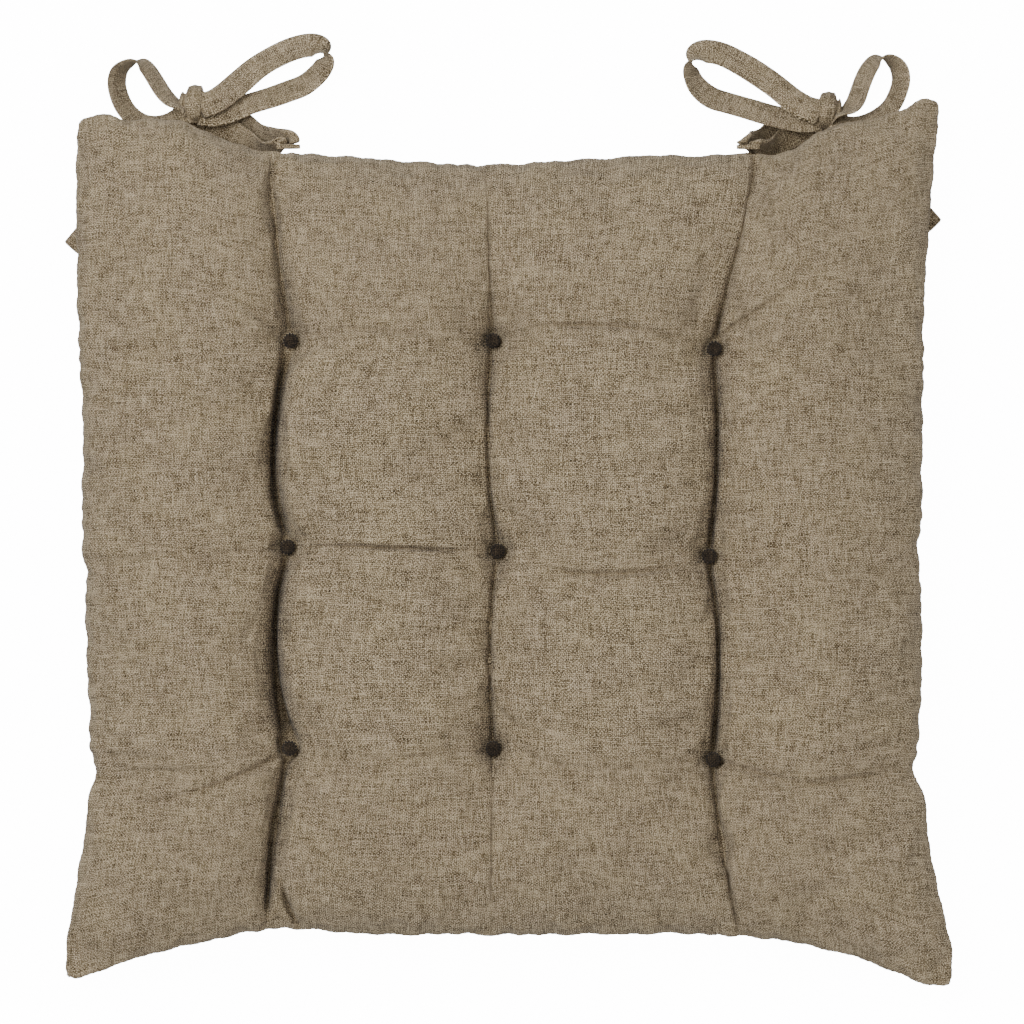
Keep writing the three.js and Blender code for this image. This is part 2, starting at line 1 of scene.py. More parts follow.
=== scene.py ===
"""A button-tufted chair pad with bow-tied ties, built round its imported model.

Every length in the tables below is in millimetres, as a maker would chalk it on the cloth. Meshes are in metres.
"""

import json
import logging
import math
from dataclasses import dataclass, field
from enum import Enum
from typing import Any, Sequence

import bmesh
import bpy
import numpy as np
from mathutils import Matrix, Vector
from mathutils.bvhtree import BVHTree

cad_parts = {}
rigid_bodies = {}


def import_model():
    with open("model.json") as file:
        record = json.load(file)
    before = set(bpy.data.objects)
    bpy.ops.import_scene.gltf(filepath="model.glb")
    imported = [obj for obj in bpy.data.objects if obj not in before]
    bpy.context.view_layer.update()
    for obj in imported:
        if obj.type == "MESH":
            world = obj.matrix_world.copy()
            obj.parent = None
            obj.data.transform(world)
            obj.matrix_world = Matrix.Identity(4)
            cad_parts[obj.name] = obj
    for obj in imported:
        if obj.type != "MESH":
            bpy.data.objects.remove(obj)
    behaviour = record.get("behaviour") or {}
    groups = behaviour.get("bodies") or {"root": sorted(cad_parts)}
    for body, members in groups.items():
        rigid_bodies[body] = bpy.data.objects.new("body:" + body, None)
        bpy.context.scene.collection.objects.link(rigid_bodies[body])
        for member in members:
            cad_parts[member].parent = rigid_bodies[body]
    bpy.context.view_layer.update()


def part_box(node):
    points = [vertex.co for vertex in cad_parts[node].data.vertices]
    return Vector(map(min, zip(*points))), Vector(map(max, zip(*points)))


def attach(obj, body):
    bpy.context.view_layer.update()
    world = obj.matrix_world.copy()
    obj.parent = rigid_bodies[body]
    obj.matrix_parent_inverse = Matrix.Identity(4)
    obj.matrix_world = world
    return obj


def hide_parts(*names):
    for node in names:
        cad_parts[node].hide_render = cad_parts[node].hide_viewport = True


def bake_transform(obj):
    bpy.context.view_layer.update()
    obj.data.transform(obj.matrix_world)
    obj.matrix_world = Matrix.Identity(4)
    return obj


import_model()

MM = 0.001
ROWS = ("front", "middle", "rear")
COLUMNS = ("left", "centre", "right")
log = logging.getLogger("chair_pad")

Point = tuple[float, float, float]
Pair = tuple[float, float]
Colour = tuple[float, float, float]


# ---------- Small shared tools ----------


def linear(red: int, green: int, blue: int) -> Colour:
    """A display colour of 0 to 255 a channel as the linear colour that shaders take."""
    channels = (value / 255 for value in (red, green, blue))
    return tuple(((c + 0.055) / 1.055) ** 2.4 if c > 0.04045 else c / 12.92 for c in channels)


def smoothstep(value: np.ndarray | float, near: float, far: float) -> np.ndarray:
    """0 up to near, 1 past far, and smooth between them."""
    share = np.clip((np.asarray(value, float) - near) / (far - near), 0, 1)
    return share * share * (3 - 2 * share)


def catmull_rom(points: Sequence[Sequence[float]], per_span: int) -> np.ndarray:
    """A smooth open curve through points, of any number of coordinates.

    Args:
        points: the points that the curve passes through.
        per_span: how many steps the curve takes between two of them.

    Returns:
        One row for each point of the curve, ends included.
    """
    knots = np.asarray(points, float)
    padded = np.vstack([2 * knots[0] - knots[1], knots, 2 * knots[-1] - knots[-2]])
    rows = []
    for i in range(len(knots) - 1):
        a, b, c, d = padded[i:i + 4]
        for t in np.arange(per_span) / per_span:
            rows.append(0.5 * (2 * b + (c - a) * t + (2 * a - 5 * b + 4 * c - d) * t ** 2
                               + (3 * b - a - 3 * c + d) * t ** 3))
    return np.vstack([*rows, knots[-1]])


def centripetal(points: Sequence[Point], shares: np.ndarray) -> np.ndarray:
    """A centripetal Catmull-Rom curve, which keeps close to the points of a tight bend.

    Args:
        points: the points that the curve passes through.
        shares: how far along the list of points, from 0 to 1.

    Returns:
        One row for each share.
    """
    knots = np.asarray(points, float)
    padded = np.vstack([2 * knots[0] - knots[1], knots, 2 * knots[-1] - knots[-2]])
    rows = []
    for place in np.asarray(shares) * (len(knots) - 1):
        i = min(int(place), len(knots) - 2)
        a, b, c, d = padded[i:i + 4]
        before, here, after = (max(np.linalg.norm(q - p), 1e-6) ** 0.5 for p, q in ((a, b), (b, c), (c, d)))
        leave = ((b - a) / before - (c - a) / (before + here) + (c - b) / here) * here
        reach = ((c - b) / here - (d - b) / (here + after) + (d - c) / after) * here
        t = place - i
        rows.append(b + leave * t + (3 * (c - b) - 2 * leave - reach) * t ** 2 + (2 * (b - c) + leave + reach) * t ** 3)
    return np.array(rows)


def arched(away: np.ndarray) -> np.ndarray:
    """1 at the floor of a fold, falling steeply at first and level again at an away of 1, as two rolls meet."""
    rise = 1 - np.clip(away, 0, 1)
    return 1 - np.sqrt(np.maximum(1 - rise * rise, 0))


def unit(vectors: np.ndarray) -> np.ndarray:
    """Each row made one long."""
    return vectors / np.maximum(np.linalg.norm(vectors, axis=-1, keepdims=True), 1e-12)


def blurred(values: np.ndarray, width: int) -> np.ndarray:
    """Values smoothed by a round window of that many places each way, with both ends kept."""
    window = np.hanning(2 * width + 3)[1:-1]
    ends = np.pad(values, width, mode="reflect", reflect_type="odd")
    return np.convolve(ends, window / window.sum(), mode="valid")


def object_of(name: str, vertices: np.ndarray, faces: Sequence[Sequence[int]], smooth: bool = True) -> bpy.types.Object:
    """A mesh object of that name at the origin.

    Args:
        name: the piece's name.
        vertices: places in metres, one row each.
        faces: the vertices of each face, anticlockwise from outside.
        smooth: whether the faces are shaded smooth.

    Returns:
        The object, linked to the scene.
    """
    mesh = bpy.data.meshes.new(name)
    mesh.from_pydata(np.asarray(vertices, float).tolist(), [], [list(map(int, face)) for face in faces])
    mesh.polygons.foreach_set("use_smooth", [smooth] * len(mesh.polygons))
    mesh.update()
    piece = bpy.data.objects.new(name, mesh)
    bpy.context.scene.collection.objects.link(piece)
    return piece


def paint_uv(piece: bpy.types.Object, places: np.ndarray) -> None:
    """Gives a piece the UV map that its cloth follows: one place in metres for each vertex."""
    mesh = piece.data
    layer = mesh.uv_layers.new(name="ClothPlan")
    corners = np.zeros(len(mesh.loops), np.int32)
    mesh.loops.foreach_get("vertex_index", corners)
    layer.data.foreach_set("uv", np.asarray(places, np.float32)[corners].ravel())


def evaluated_mesh(piece: bpy.types.Object, name: str) -> bpy.types.Mesh:
    """The piece's mesh with its modifiers applied, as a new mesh of that name."""
    graph = bpy.context.evaluated_depsgraph_get()
    mesh = bpy.data.meshes.new_from_object(piece.evaluated_get(graph), preserve_all_data_layers=True, depsgraph=graph)
    mesh.name = name
    return mesh


def apply_modifiers(piece: bpy.types.Object) -> None:
    """Turns the piece into its evaluated mesh and removes its modifiers."""
    mesh = evaluated_mesh(piece, piece.data.name + "_made")
    piece.modifiers.clear()
    piece.data = mesh


def turn_out(piece: bpy.types.Object) -> None:
    """Points every face of a closed piece outwards."""
    work = bmesh.new()
    work.from_mesh(piece.data)
    bmesh.ops.recalc_face_normals(work, faces=work.faces)
    work.to_mesh(piece.data)
    work.free()


# ---------- Shader building ----------


class Value:
    """A number socket of a shader tree, with the arithmetic that expressions need."""

    def __init__(self, tree: "ShaderTree", socket: bpy.types.NodeSocket) -> None:
        """Wraps a socket of that tree."""
        self.tree = tree
        self.socket = socket

    def math(self, operation: str, *others: "Value | float") -> "Value":
        """This number and others through one Math node."""
        return self.tree.math(operation, self, *others)

    def __add__(self, other: "Value | float") -> "Value":
        """The sum."""
        return self.math("ADD", other)

    __radd__ = __add__

    def __mul__(self, other: "Value | float") -> "Value":
        """The product."""
        return self.math("MULTIPLY", other)

    __rmul__ = __mul__

    def __sub__(self, other: "Value | float") -> "Value":
        """The difference."""
        return self.math("SUBTRACT", other)

    def __rsub__(self, other: "Value | float") -> "Value":
        """The difference from another number."""
        return self.tree.math("SUBTRACT", other, self)

    def __truediv__(self, other: "Value | float") -> "Value":
        """The quotient."""
        return self.math("DIVIDE", other)

    def clamped(self) -> "Value":
        """This number kept between 0 and 1."""
        return self.math("MINIMUM", 1.0).math("MAXIMUM", 0.0)


class ShaderTree:
    """A material's node tree and the one way nodes are added to it."""

    def __init__(self, name: str) -> None:
        """Starts a material of that name with only its output and its shader."""
        self.material = bpy.data.materials.new(name)
        self.material.use_nodes = True
        self.nodes = self.material.node_tree.nodes
        self.links = self.material.node_tree.links
        self.nodes.clear()
        self.output = self.nodes.new("ShaderNodeOutputMaterial")
        self.shader = self.nodes.new("ShaderNodeBsdfPrincipled")
        self.links.new(self.shader.outputs["BSDF"], self.output.inputs["Surface"])

    def node(self, kind: str, settings: dict[str, Any] | None = None, **inputs: Any) -> bpy.types.Node:
        """Adds a node.

        Args:
            kind: the node's type, without its ShaderNode prefix.
            settings: its own settings, set first. "stops" gives a colour ramp's places and colours.
            inputs: values or links of its sockets, by name, with _ for a space. in_N is the socket numbered N.

        Returns:
            The node.
        """
        made = self.nodes.new("ShaderNode" + kind)
        for key, value in (settings or {}).items():
            if key == "stops":
                ramp = made.color_ramp.elements
                while len(ramp) < len(value):
                    ramp.new(0.5)
                for element, (place, colour) in zip(ramp, value):
                    element.position = place
                    element.color = (*colour, 1)
            else:
                setattr(made, key, value)
        for key, value in inputs.items():
            socket = made.inputs[int(key[3:])] if key.startswith("in_") else made.inputs[key.replace("_", " ")]
            self.feed(socket, value)
        return made

    def feed(self, socket: bpy.types.NodeSocket, value: Any) -> None:
        """Links or sets one socket."""
        if isinstance(value, Value):
            self.links.new(value.socket, socket)
        elif isinstance(value, bpy.types.NodeSocket):
            self.links.new(value, socket)
        else:
            socket.default_value = value

    def math(self, operation: str, *values: Value | float) -> Value:
        """Numbers through one Math node."""
        inputs = {f"in_{i}": value for i, value in enumerate(values)}
        return Value(self, self.node("Math", {"operation": operation}, **inputs).outputs[0])

    def plan(self) -> tuple[Value, Value]:
        """The place on the flat cloth, in millimetres along the weft and along the warp."""
        uv = self.node("UVMap", {"uv_map": "ClothPlan"}).outputs["UV"]
        parts = self.node("SeparateXYZ", Vector=uv)
        return Value(self, parts.outputs["X"]) * (1 / MM), Value(self, parts.outputs["Y"]) * (1 / MM)

    def place(self) -> tuple[Value, Value, Value]:
        """The place on the object, in millimetres."""
        parts = self.node("SeparateXYZ", Vector=self.node("TexCoord").outputs["Object"])
        return tuple(Value(self, parts.outputs[axis]) * (1 / MM) for axis in "XYZ")

    def vector(self, x: Value | float, y: Value | float, z: Value | float = 0.0) -> bpy.types.NodeSocket:
        """Three numbers as a vector."""
        return self.node("CombineXYZ", X=x, Y=y, Z=z).outputs[0]

    def noise(self, x: Value | float, y: Value | float, z: Value | float = 0.0, detail: float = 1.0) -> Value:
        """Smooth noise from 0 to 1 whose grain is about one unit wide."""
        made = self.node("TexNoise", {"noise_dimensions": "3D"}, Vector=self.vector(x, y, z), Scale=1.0,
                         Detail=detail, Roughness=0.5)
        return Value(self, made.outputs["Fac"])

    def ramp(self, value: Value, stops: Sequence[tuple[float, Colour]]) -> bpy.types.NodeSocket:
        """A colour for a number from 0 to 1."""
        return self.node("ValToRGB", {"stops": list(stops)}, Fac=value.clamped()).outputs["Color"]

    def mixed(self, share: Value | float, first: Any, second: Any, blend: str = "MIX") -> bpy.types.NodeSocket:
        """Two colours mixed."""
        made = self.node("Mix", {"data_type": "RGBA", "blend_type": blend})
        self.feed(made.inputs[0], share)
        self.feed(made.inputs[6], first)
        self.feed(made.inputs[7], second)
        return made.outputs[2]

    def bump(self, height: Value, depth: float, strength: float = 1.0, under: Any = None) -> bpy.types.NodeSocket:
        """A normal from a height of 0 to 1 that stands for that depth in metres."""
        made = self.node("Bump", {}, Strength=strength, Distance=depth, Height=height)
        if under is not None:
            self.feed(made.inputs["Normal"], under)
        return made.outputs["Normal"]

    def dress(self, **inputs: Any) -> bpy.types.Material:
        """Feeds the shader's sockets, by name with _ for a space, and returns the material."""
        for key, value in inputs.items():
            self.feed(self.shader.inputs[key.replace("_", " ")], value)
        return self.material


@dataclass(frozen=True)
class LinenCloth:
    """A plain weave of slubbed tan and brown yarns, matt, with a soft sheen."""

    name: str = "linen_cloth"
    pitch: float = 0.84
    slub_length: float = 8.5
    wander: float = 0.45
    fuzz_grain: float = 0.4
    dark: Colour = linear(48, 38, 24)
    shade: Colour = linear(100, 86, 62)
    body: Colour = linear(144, 128, 101)
    light: Colour = linear(204, 188, 160)
    grain_depth: float = 0.0003
    streaks: float = 2.0
    grain: float = 3.9

    def material(self) -> bpy.types.Material:
        """Each crossing shows either its warp or its weft yarn, and each yarn's shade drifts along its length. Each
        yarn is also painted lighter on its crown and darker towards the gaps between yarns: painted shade.
        """
        tree = ShaderTree(self.name)
        x, y = tree.plan()
        drift_x = tree.noise(x / 2.2, y / 2.2, 3.0) - 0.5
        drift_y = tree.noise(x / 2.2, y / 2.2, 17.0) - 0.5
        column = (x + drift_x * self.wander * 2) / self.pitch
        row = (y + drift_y * self.wander * 2) / self.pitch
        warp_number = column.math("FLOOR")
        weft_number = row.math("FLOOR")
        warp_shade = tree.noise(warp_number * 1.73, y / self.slub_length, 5.0, detail=2.0)
        weft_shade = tree.noise(x / self.slub_length, weft_number * 1.73, 11.0, detail=2.0)
        over = (warp_number + weft_number).math("PINGPONG", 1.0)
        yarn = warp_shade * (over * 0.6 + 0.2) + weft_shade * (0.8 - over * 0.6)
        across = (column.math("FRACT") * math.pi).math("SINE")
        along = (row.math("FRACT") * math.pi).math("SINE")
        crown = (across * along).math("POWER", 0.6)
        fuzz = tree.noise(x / self.fuzz_grain, y / self.fuzz_grain, 29.0)
        cast = tree.noise(x / 22.0, y / 22.0, 41.0, detail=3.0)
        # The crown term is painted shade: each yarn lighter on its crown and darker towards the gaps between yarns.
        tone = ((yarn - 0.5) * self.streaks + (fuzz - 0.5) * self.grain + (crown - 0.62) * 0.7
                + (over - 0.5) * 0.25 + (cast - 0.5) * 0.15 + 0.545)
        colour = tree.ramp(tone, [(0.0, self.dark), (0.34, self.shade), (0.58, self.body), (1.0, self.light)])
        warm = tree.ramp((cast - 0.5) * 2.6 + 0.5, [(0.0, (0.98, 0.965, 0.96)), (1.0, (1.0, 0.985, 0.93))])
        height = crown * 0.6 + fuzz * 0.5
        normal = tree.bump(height, self.grain_depth, 0.85)
        tree.shader.inputs["Sheen Weight"].default_value = 0.1
        tree.shader.inputs["Sheen Roughness"].default_value = 0.55
        tree.shader.inputs["Specular IOR Level"].default_value = 0.15
        tree.shader.inputs["Roughness"].default_value = 0.95
        return tree.dress(Base_Color=tree.mixed(1.0, colour, warm, "MULTIPLY"), Normal=normal)


@dataclass(frozen=True)
class Thread:
    """Spun thread or twine, its plies shown by fine bands along it, darker in the grooves between plies: painted shade.
    """

    name: str = "seam_thread"
    dark: Colour = linear(86, 74, 56)
    light: Colour = linear(150, 136, 112)
    band: float = 0.45

    def material(self) -> bpy.types.Material:
        """Slanting bands on Object coordinates, with a little fuzz. The bands' dark lows are painted shade in the
        grooves between plies, and the bands also make the bump.
        """
        tree = ShaderTree(self.name)
        x, y, z = tree.place()
        fuzz = tree.noise(x / 0.3, y / 0.3, z / 0.3, detail=2.0)
        bands = ((x + y + z * 1.4) / self.band + fuzz * 0.6).math("SINE") * 0.5 + 0.5
        # The bands in the colour are painted shade: darker in the grooves between plies, lighter on the plies.
        tone = bands * 0.6 + fuzz * 0.4
        tree.shader.inputs["Roughness"].default_value = 0.8
        tree.shader.inputs["Specular IOR Level"].default_value = 0.25
        return tree.dress(Base_Color=tree.ramp(tone, [(0.15, self.dark), (0.85, self.light)]),
                          Normal=tree.bump(bands, 0.00012, 0.8))


@dataclass(frozen=True)
class MouldedPlastic:
    """The flat buttons' plastic, with a faint mottle and fine scratches."""

    name: str = "under_button_plastic"
    dark: Colour = linear(88, 78, 64)
    light: Colour = linear(118, 107, 90)

    def material(self) -> bpy.types.Material:
        """A slow mottle in the colour, and a fine one in the gloss."""
        tree = ShaderTree(self.name)
        x, y, z = tree.place()
        mottle = tree.noise(x / 3.5, y / 3.5, z / 3.5, detail=3.0)
        scuffs = tree.noise(x / 0.4, y / 3.0, z / 0.4, detail=2.0)
        return tree.dress(Base_Color=tree.ramp(mottle, [(0.3, self.dark), (0.7, self.light)]),
                          Roughness=scuffs * 0.3 + 0.3, Normal=tree.bump(scuffs, 0.00003, 0.6))


@dataclass(frozen=True)
class PlatedWire:
    """Bright plated steel, dulled where it was pressed."""

    name: str = "plated_wire"
    colour: Colour = (0.62, 0.61, 0.58)

    def material(self) -> bpy.types.Material:
        """Metal whose gloss varies."""
        tree = ShaderTree(self.name)
        x, y, z = tree.place()
        haze = tree.noise(x / 0.8, y / 0.8, z / 0.8, detail=3.0)
        tree.shader.inputs["Metallic"].default_value = 1.0
        return tree.dress(Base_Color=(*self.colour, 1), Roughness=haze * 0.35 + 0.2)


# ---------- The pad ----------


class Side(Enum):
    """The four sides of the pad: the corners each runs between, and the way it is drawn in."""

    FRONT = ("front_left", "front_right", (0.0, 1.0))
    REAR = ("rear_left", "rear_right", (0.0, -1.0))
    LEFT = ("front_left", "rear_left", (1.0, 0.0))
    RIGHT = ("front_right", "rear_right", (-1.0, 0.0))


@dataclass
class Outline:
    """The seam line round the pad from above, in millimetres."""

    corners: dict[str, Pair] = field(default_factory=lambda: {
        "rear_left": (-197.0, 195.0), "rear_right": (197.5, 203.0),
        "front_left": (-203.0, -199.3), "front_right": (203.0, -203.0),
    })
    # How far each side is drawn in, at shares of the way from its first corner to its last.
    insets: dict[Side, list[Pair]] = field(default_factory=lambda: {
        Side.REAR: [(0, 0), (0.03, -1), (0.05, 2.9), (0.09, 2.2), (0.128, 3.4), (0.157, 7.5), (0.188, 12.6),
                    (0.225, 17), (0.26, 19.3), (0.305, 20.1), (0.374, 23), (0.444, 25.8), (0.49, 26.8),
                    (0.559, 24.7), (0.628, 23), (0.697, 23.6), (0.766, 23.8), (0.791, 22), (0.826, 14.3),
                    (0.881, 10.1), (0.906, 8.9), (0.952, 5.4), (0.985, -0.6), (1, 0)],
        Side.FRONT: [(0, 0), (0.02, 0.5), (0.043, 4.3), (0.087, 10.3), (0.132, 14.6), (0.177, 18.4), (0.222, 22.2),
                     (0.267, 25.1), (0.311, 23.9), (0.379, 21.9), (0.446, 23.1), (0.558, 23), (0.692, 24),
                     (0.782, 21.5), (0.826, 18.1), (0.871, 14.6), (0.916, 8.4), (0.961, 1.8), (1, 0)],
        Side.LEFT: [(0, 0), (0.038, 1.2), (0.084, 3.6), (0.13, 6.1), (0.176, 9), (0.22, 11), (0.245, 14),
                    (0.268, 10.7), (0.314, 10), (0.383, 8.2), (0.44, 7.4), (0.47, 8.4), (0.498, 6.1), (0.57, 5.2),
                    (0.637, 5.3), (0.775, 1.8), (0.9, 0.4), (1, 0)],
        Side.RIGHT: [(0, 0), (0.043, 0.5), (0.088, 4.1), (0.133, 8), (0.177, 10.9), (0.222, 12.5), (0.245, 17.9),
                     (0.267, 15.4), (0.3, 13.8), (0.38, 12.1), (0.458, 12.6), (0.491, 14.2), (0.53, 11.6),
                     (0.626, 10.8), (0.76, 9.5), (0.827, 7.4), (0.894, 5.2), (0.96, 2.2), (1, 0)],
    })
    samples: int = 800
    rounding: int = 5
    scallop: float = 0.45
    scallop_pitch: float = 11.0

    def edge(self, side: Side, places: np.ndarray) -> np.ndarray:
        """How far out a side lies.

        Args:
            side: which side.
            places: where along it, in millimetres: x on the front and the rear, y on the left and the right.

        Returns:
            The other coordinate of the side at each of those places.
        """
        first, last, inward = side.value
        along = 0 if inward[0] == 0 else 1
        start, end = np.array(self.corners[first]), np.array(self.corners[last])
        shares = (places - start[along]) / (end[along] - start[along])
        steps = np.linspace(0, 1, self.samples)
        inset = blurred(np.interp(steps, *np.array(self.insets[side]).T), self.rounding)
        phase = steps * abs(end[along] - start[along]) / self.scallop_pitch * 2 * math.pi
        inset += self.scallop * np.sin(phase + 1.7 * np.sin(phase * 0.31)) * np.sin(steps * math.pi) ** 0.3
        chord = start[1 - along] + (end[1 - along] - start[1 - along]) * shares
        return chord + np.interp(shares, steps, inset) * inward[1 - along]


@dataclass
class Fold:
    """A line along which the cloth is drawn down, from above.

    Each station of the line is its x and y, how deep it is there, how far to each side it reaches, and half the width
    of its floor.
    """

    stations: list[tuple[float, float, float, float, float]]
    slot: float = 0.0
    wall: float = 7.0

    def crossing(self, y: np.ndarray) -> np.ndarray:
        """Where a fold that runs from front to rear crosses each y."""
        line = catmull_rom(self.stations, 8)[::-1]
        return np.interp(y, line[:, 1], line[:, 0])

    def opening(self, y: np.ndarray) -> np.ndarray:
        """Half the width of the fold's floor at each y."""
        line = catmull_rom(self.stations, 8)[::-1]
        return np.interp(y, line[:, 1], np.maximum(line[:, 4], 0.1))

    def depth(self, x: np.ndarray, y: np.ndarray) -> np.ndarray:
        """How far each place is drawn down by this fold."""
        line = catmull_rom(self.stations, 5)
        drawn = np.zeros_like(x)
        for a, b in zip(line[:-1], line[1:]):
            run = b[:2] - a[:2]
            t = np.clip(((x - a[0]) * run[0] + (y - a[1]) * run[1]) / (run @ run), 0, 1)
            depth, reach, floor = (a[k] + t * (b[k] - a[k]) for k in (2, 3, 4))
            away = np.hypot(x - a[0] - t * run[0], y - a[1] - t * run[1])
            drawn = np.maximum(drawn, np.maximum(depth, 0) * self.profile(away - floor, np.maximum(reach, 1)))
        return drawn

    def profile(self, away: np.ndarray, reach: np.ndarray) -> np.ndarray:
        """The share of the depth that far from the floor's edge: part a wide hollow and part a steep one."""
        return arched(away / reach) * (1 - self.slot) + arched(away / self.wall) * self.slot


@dataclass
class Slit(Fold):
    """A narrow gap or a fine line, with even walls."""

    def profile(self, away: np.ndarray, reach: np.ndarray) -> np.ndarray:
        """The share of the depth that far from the floor's edge."""
        return 1 - smoothstep(away / reach, 0, 1)


@dataclass
class Pad:
    """The stuffed cover: a top and a bottom panel, drawn together by nine tufts and filled by its fibre."""

    outline: Outline = field(default_factory=Outline)
    flat_half: float = 203.0
    crown: float = 57.0
    seam_level: float = 28.0
    corner_droop: float = 8.0
    corner_round: float = 2.2
    corner_sharpness: float = 36.0
    turn_down: float = 160.0
    # Where each column of tufts lies on the flat cover, and each row.
    flat_columns: tuple[float, float, float] = (-99.5, -6.3, 92.3)
    flat_rows: tuple[float, float, float] = (-94.0, -3.0, 91.0)
    # Where each tuft was tied, in the order of its row, from above.
    tufts: dict[str, list[Pair]] = field(default_factory=lambda: {
        "front": [(-99.3, -92.9), (-7.0, -92.9), (92.9, -97.9)],
        "middle": [(-100.2, -1.6), (-4.8, -3.4), (91.1, -5.7)],
        "rear": [(-98.9, 92.0), (-7.0, 92.0), (93.4, 88.4)],
    })
    tuft_top: float = 35.4
    tuft_bottom: float = 20.2
    tuft_reach: float = 26.0
    tuft_wall: float = 8.0
    tuft_patch: float = 4.7
    under_patch: float = 6.6
    under_reach: float = 19.0
    creases: list[Fold] = field(default_factory=lambda: [
        Fold([(-109, 184, 0, 20, 0), (-107.5, 170, 7, 26, 0), (-106.5, 156, 12, 28, 0.1), (-103.4, 125, 16, 32, 0.3),
              (-98.9, 92, 24, 34, 1.2), (-103.5, 70, 24, 34, 1.2), (-106.3, 42.5, 25, 34, 1.6),
              (-104.5, 20, 24, 34, 1.3), (-100.2, -1.6, 25, 36, 1.2), (-104, -22, 25, 36, 1.6),
              (-106.3, -44, 26, 36, 1.9), (-104.5, -70, 28, 36, 2.6), (-99.3, -92.9, 30, 36, 2.4),
              (-101.8, -103, 26, 32, 0.9), (-105.5, -130, 22, 28, 0.8), (-108.6, -155, 17, 26, 0.8),
              (-109.5, -170, 7, 20, 0.2), (-110, -184, 0, 20, 0)], slot=0.55),
        Fold([(-10, 170, 0, 24, 0), (-9, 145, 3, 28, 0), (-8, 115, 9, 30, 0), (-7, 92, 21, 34, 0.8),
              (-9, 68, 15, 32, 0.2), (-9.3, 42.5, 14, 32, 0.2), (-8, 20, 15, 32, 0.3), (-4.8, -3.4, 22, 34, 0.8),
              (-7.2, -25, 15, 32, 0.3), (-8.4, -48, 15, 32, 0.3), (-8, -72, 16, 32, 0.4), (-7, -92.9, 21, 32, 0.8),
              (-7, -108, 10, 28, 0), (-7.4, -130, 4, 24, 0), (-8, -170, 0, 20, 0)], slot=0.35),
        Fold([(113, 184, 0, 20, 0), (112, 174, 6, 22, 0), (109.5, 160, 6, 26, 0), (104, 135, 8, 28, 0),
              (98, 112, 14, 32, 0.2), (93.4, 88.4, 24, 34, 1.0), (94.3, 65, 22, 32, 0.8), (94.5, 40, 21, 32, 0.8),
              (93.6, 20, 22, 32, 0.8), (91.1, -5.7, 25, 34, 1.2), (94, -26, 22, 34, 0.8), (95.2, -44, 20, 34, 0.6),
              (94.6, -70, 21, 34, 0.7), (92.9, -97.9, 24, 34, 1.2), (94.5, -118, 16, 30, 0.4),
              (97, -139, 12, 28, 0.3), (101, -160, 8, 24, 0.2), (104.5, -177, 4, 20, 0), (106, -188, 0, 18, 0)],
             slot=0.5),
    ])
    # The lesser folds that run out from the tufts.
    pulls: list[Fold] = field(default_factory=lambda: [
        Fold([(-146, 128, 0, 9, 0), (-131, 117, 2.6, 11, 0), (-115, 106, 4.5, 13, 0), (-100, 95, 6, 16, 0)]),
        Fold([(94, 91, 6, 16, 0), (106, 99, 4.5, 13, 0), (120, 109, 3.2, 11, 0), (136, 123, 0, 9, 0)]),
        Fold([(-101, -95, 6, 16, 0), (-117, -103, 4, 14, 0), (-134, -112, 3, 12, 0), (-156, -118, 2, 10, 0),
              (-181, -122, 0, 9, 0)]),
        Fold([(94, -99, 6, 16, 0), (112, -103, 3.6, 13, 0), (132, -110, 3, 11, 0), (158, -107, 2.4, 11, 0),
              (190, -103, 2.6, 12, 0)]),
        Fold([(-97, -94, 5, 14, 0), (-84, -98, 2.4, 10, 0), (-70, -102, 0, 8, 0)]),
        Fold([(-98, -1.5, 6, 15, 0), (-80, -1.4, 3.2, 9, 0.1), (-55, -2.2, 2.6, 8, 0.1), (-28, -3, 2.4, 10, 0),
              (-6, -3, 6, 15, 0)]),
        Fold([(-6, -4, 6, 15, 0), (14, -12, 2.4, 11, 0), (40, -15, 2.6, 9, 0.1), (68, -12, 2, 10, 0),
              (90, -6, 6, 15, 0)]),
        Fold([(-7, 92, 6, 15, 0), (12, 97.5, 2.2, 10, 0), (38, 98.5, 2.2, 9, 0), (62, 96, 1.8, 10, 0),
              (92, 89, 6, 15, 0)]),
        Fold([(-98, 92, 6, 15, 0), (-74, 97, 1.5, 12, 0), (-50, 95, 1.2, 12, 0), (-26, 94, 1.6, 12, 0),
              (-8, 92, 6, 15, 0)]),
        Fold([(-98, -93, 6, 15, 0), (-52, -96, 1.2, 14, 0), (-8, -93, 6, 15, 0)]),
        Fold([(-6, -93, 6, 15, 0), (30, -100, 1.4, 14, 0), (60, -101, 1.6, 13, 0), (92, -97, 6, 15, 0)]),
        Fold([(-102, -2, 6, 15, 0), (-125, -4, 1.5, 12, 0), (-150, -9, 0, 10, 0)]),
        Fold([(92, -6, 6, 15, 0), (120, -10, 1.6, 12, 0), (160, -14, 1.0, 10, 0), (190, -15, 2, 10, 0)]),
        Fold([(-103, -150, 0, 8, 0), (-101, -161, 5, 12, 0.2), (-96.5, -172, 5, 12, 0.2), (-92, -182, 1, 8, 0)]),
        Fold([(-190, -108, 3, 12, 0), (-176, -110, 1.6, 12, 0), (-160, -114, 0, 10, 0)]),
        Fold([(-192, -8, 2.4, 10, 0), (-178, -8, 1.2, 10, 0), (-160, -6, 0, 9, 0)]),
    ])
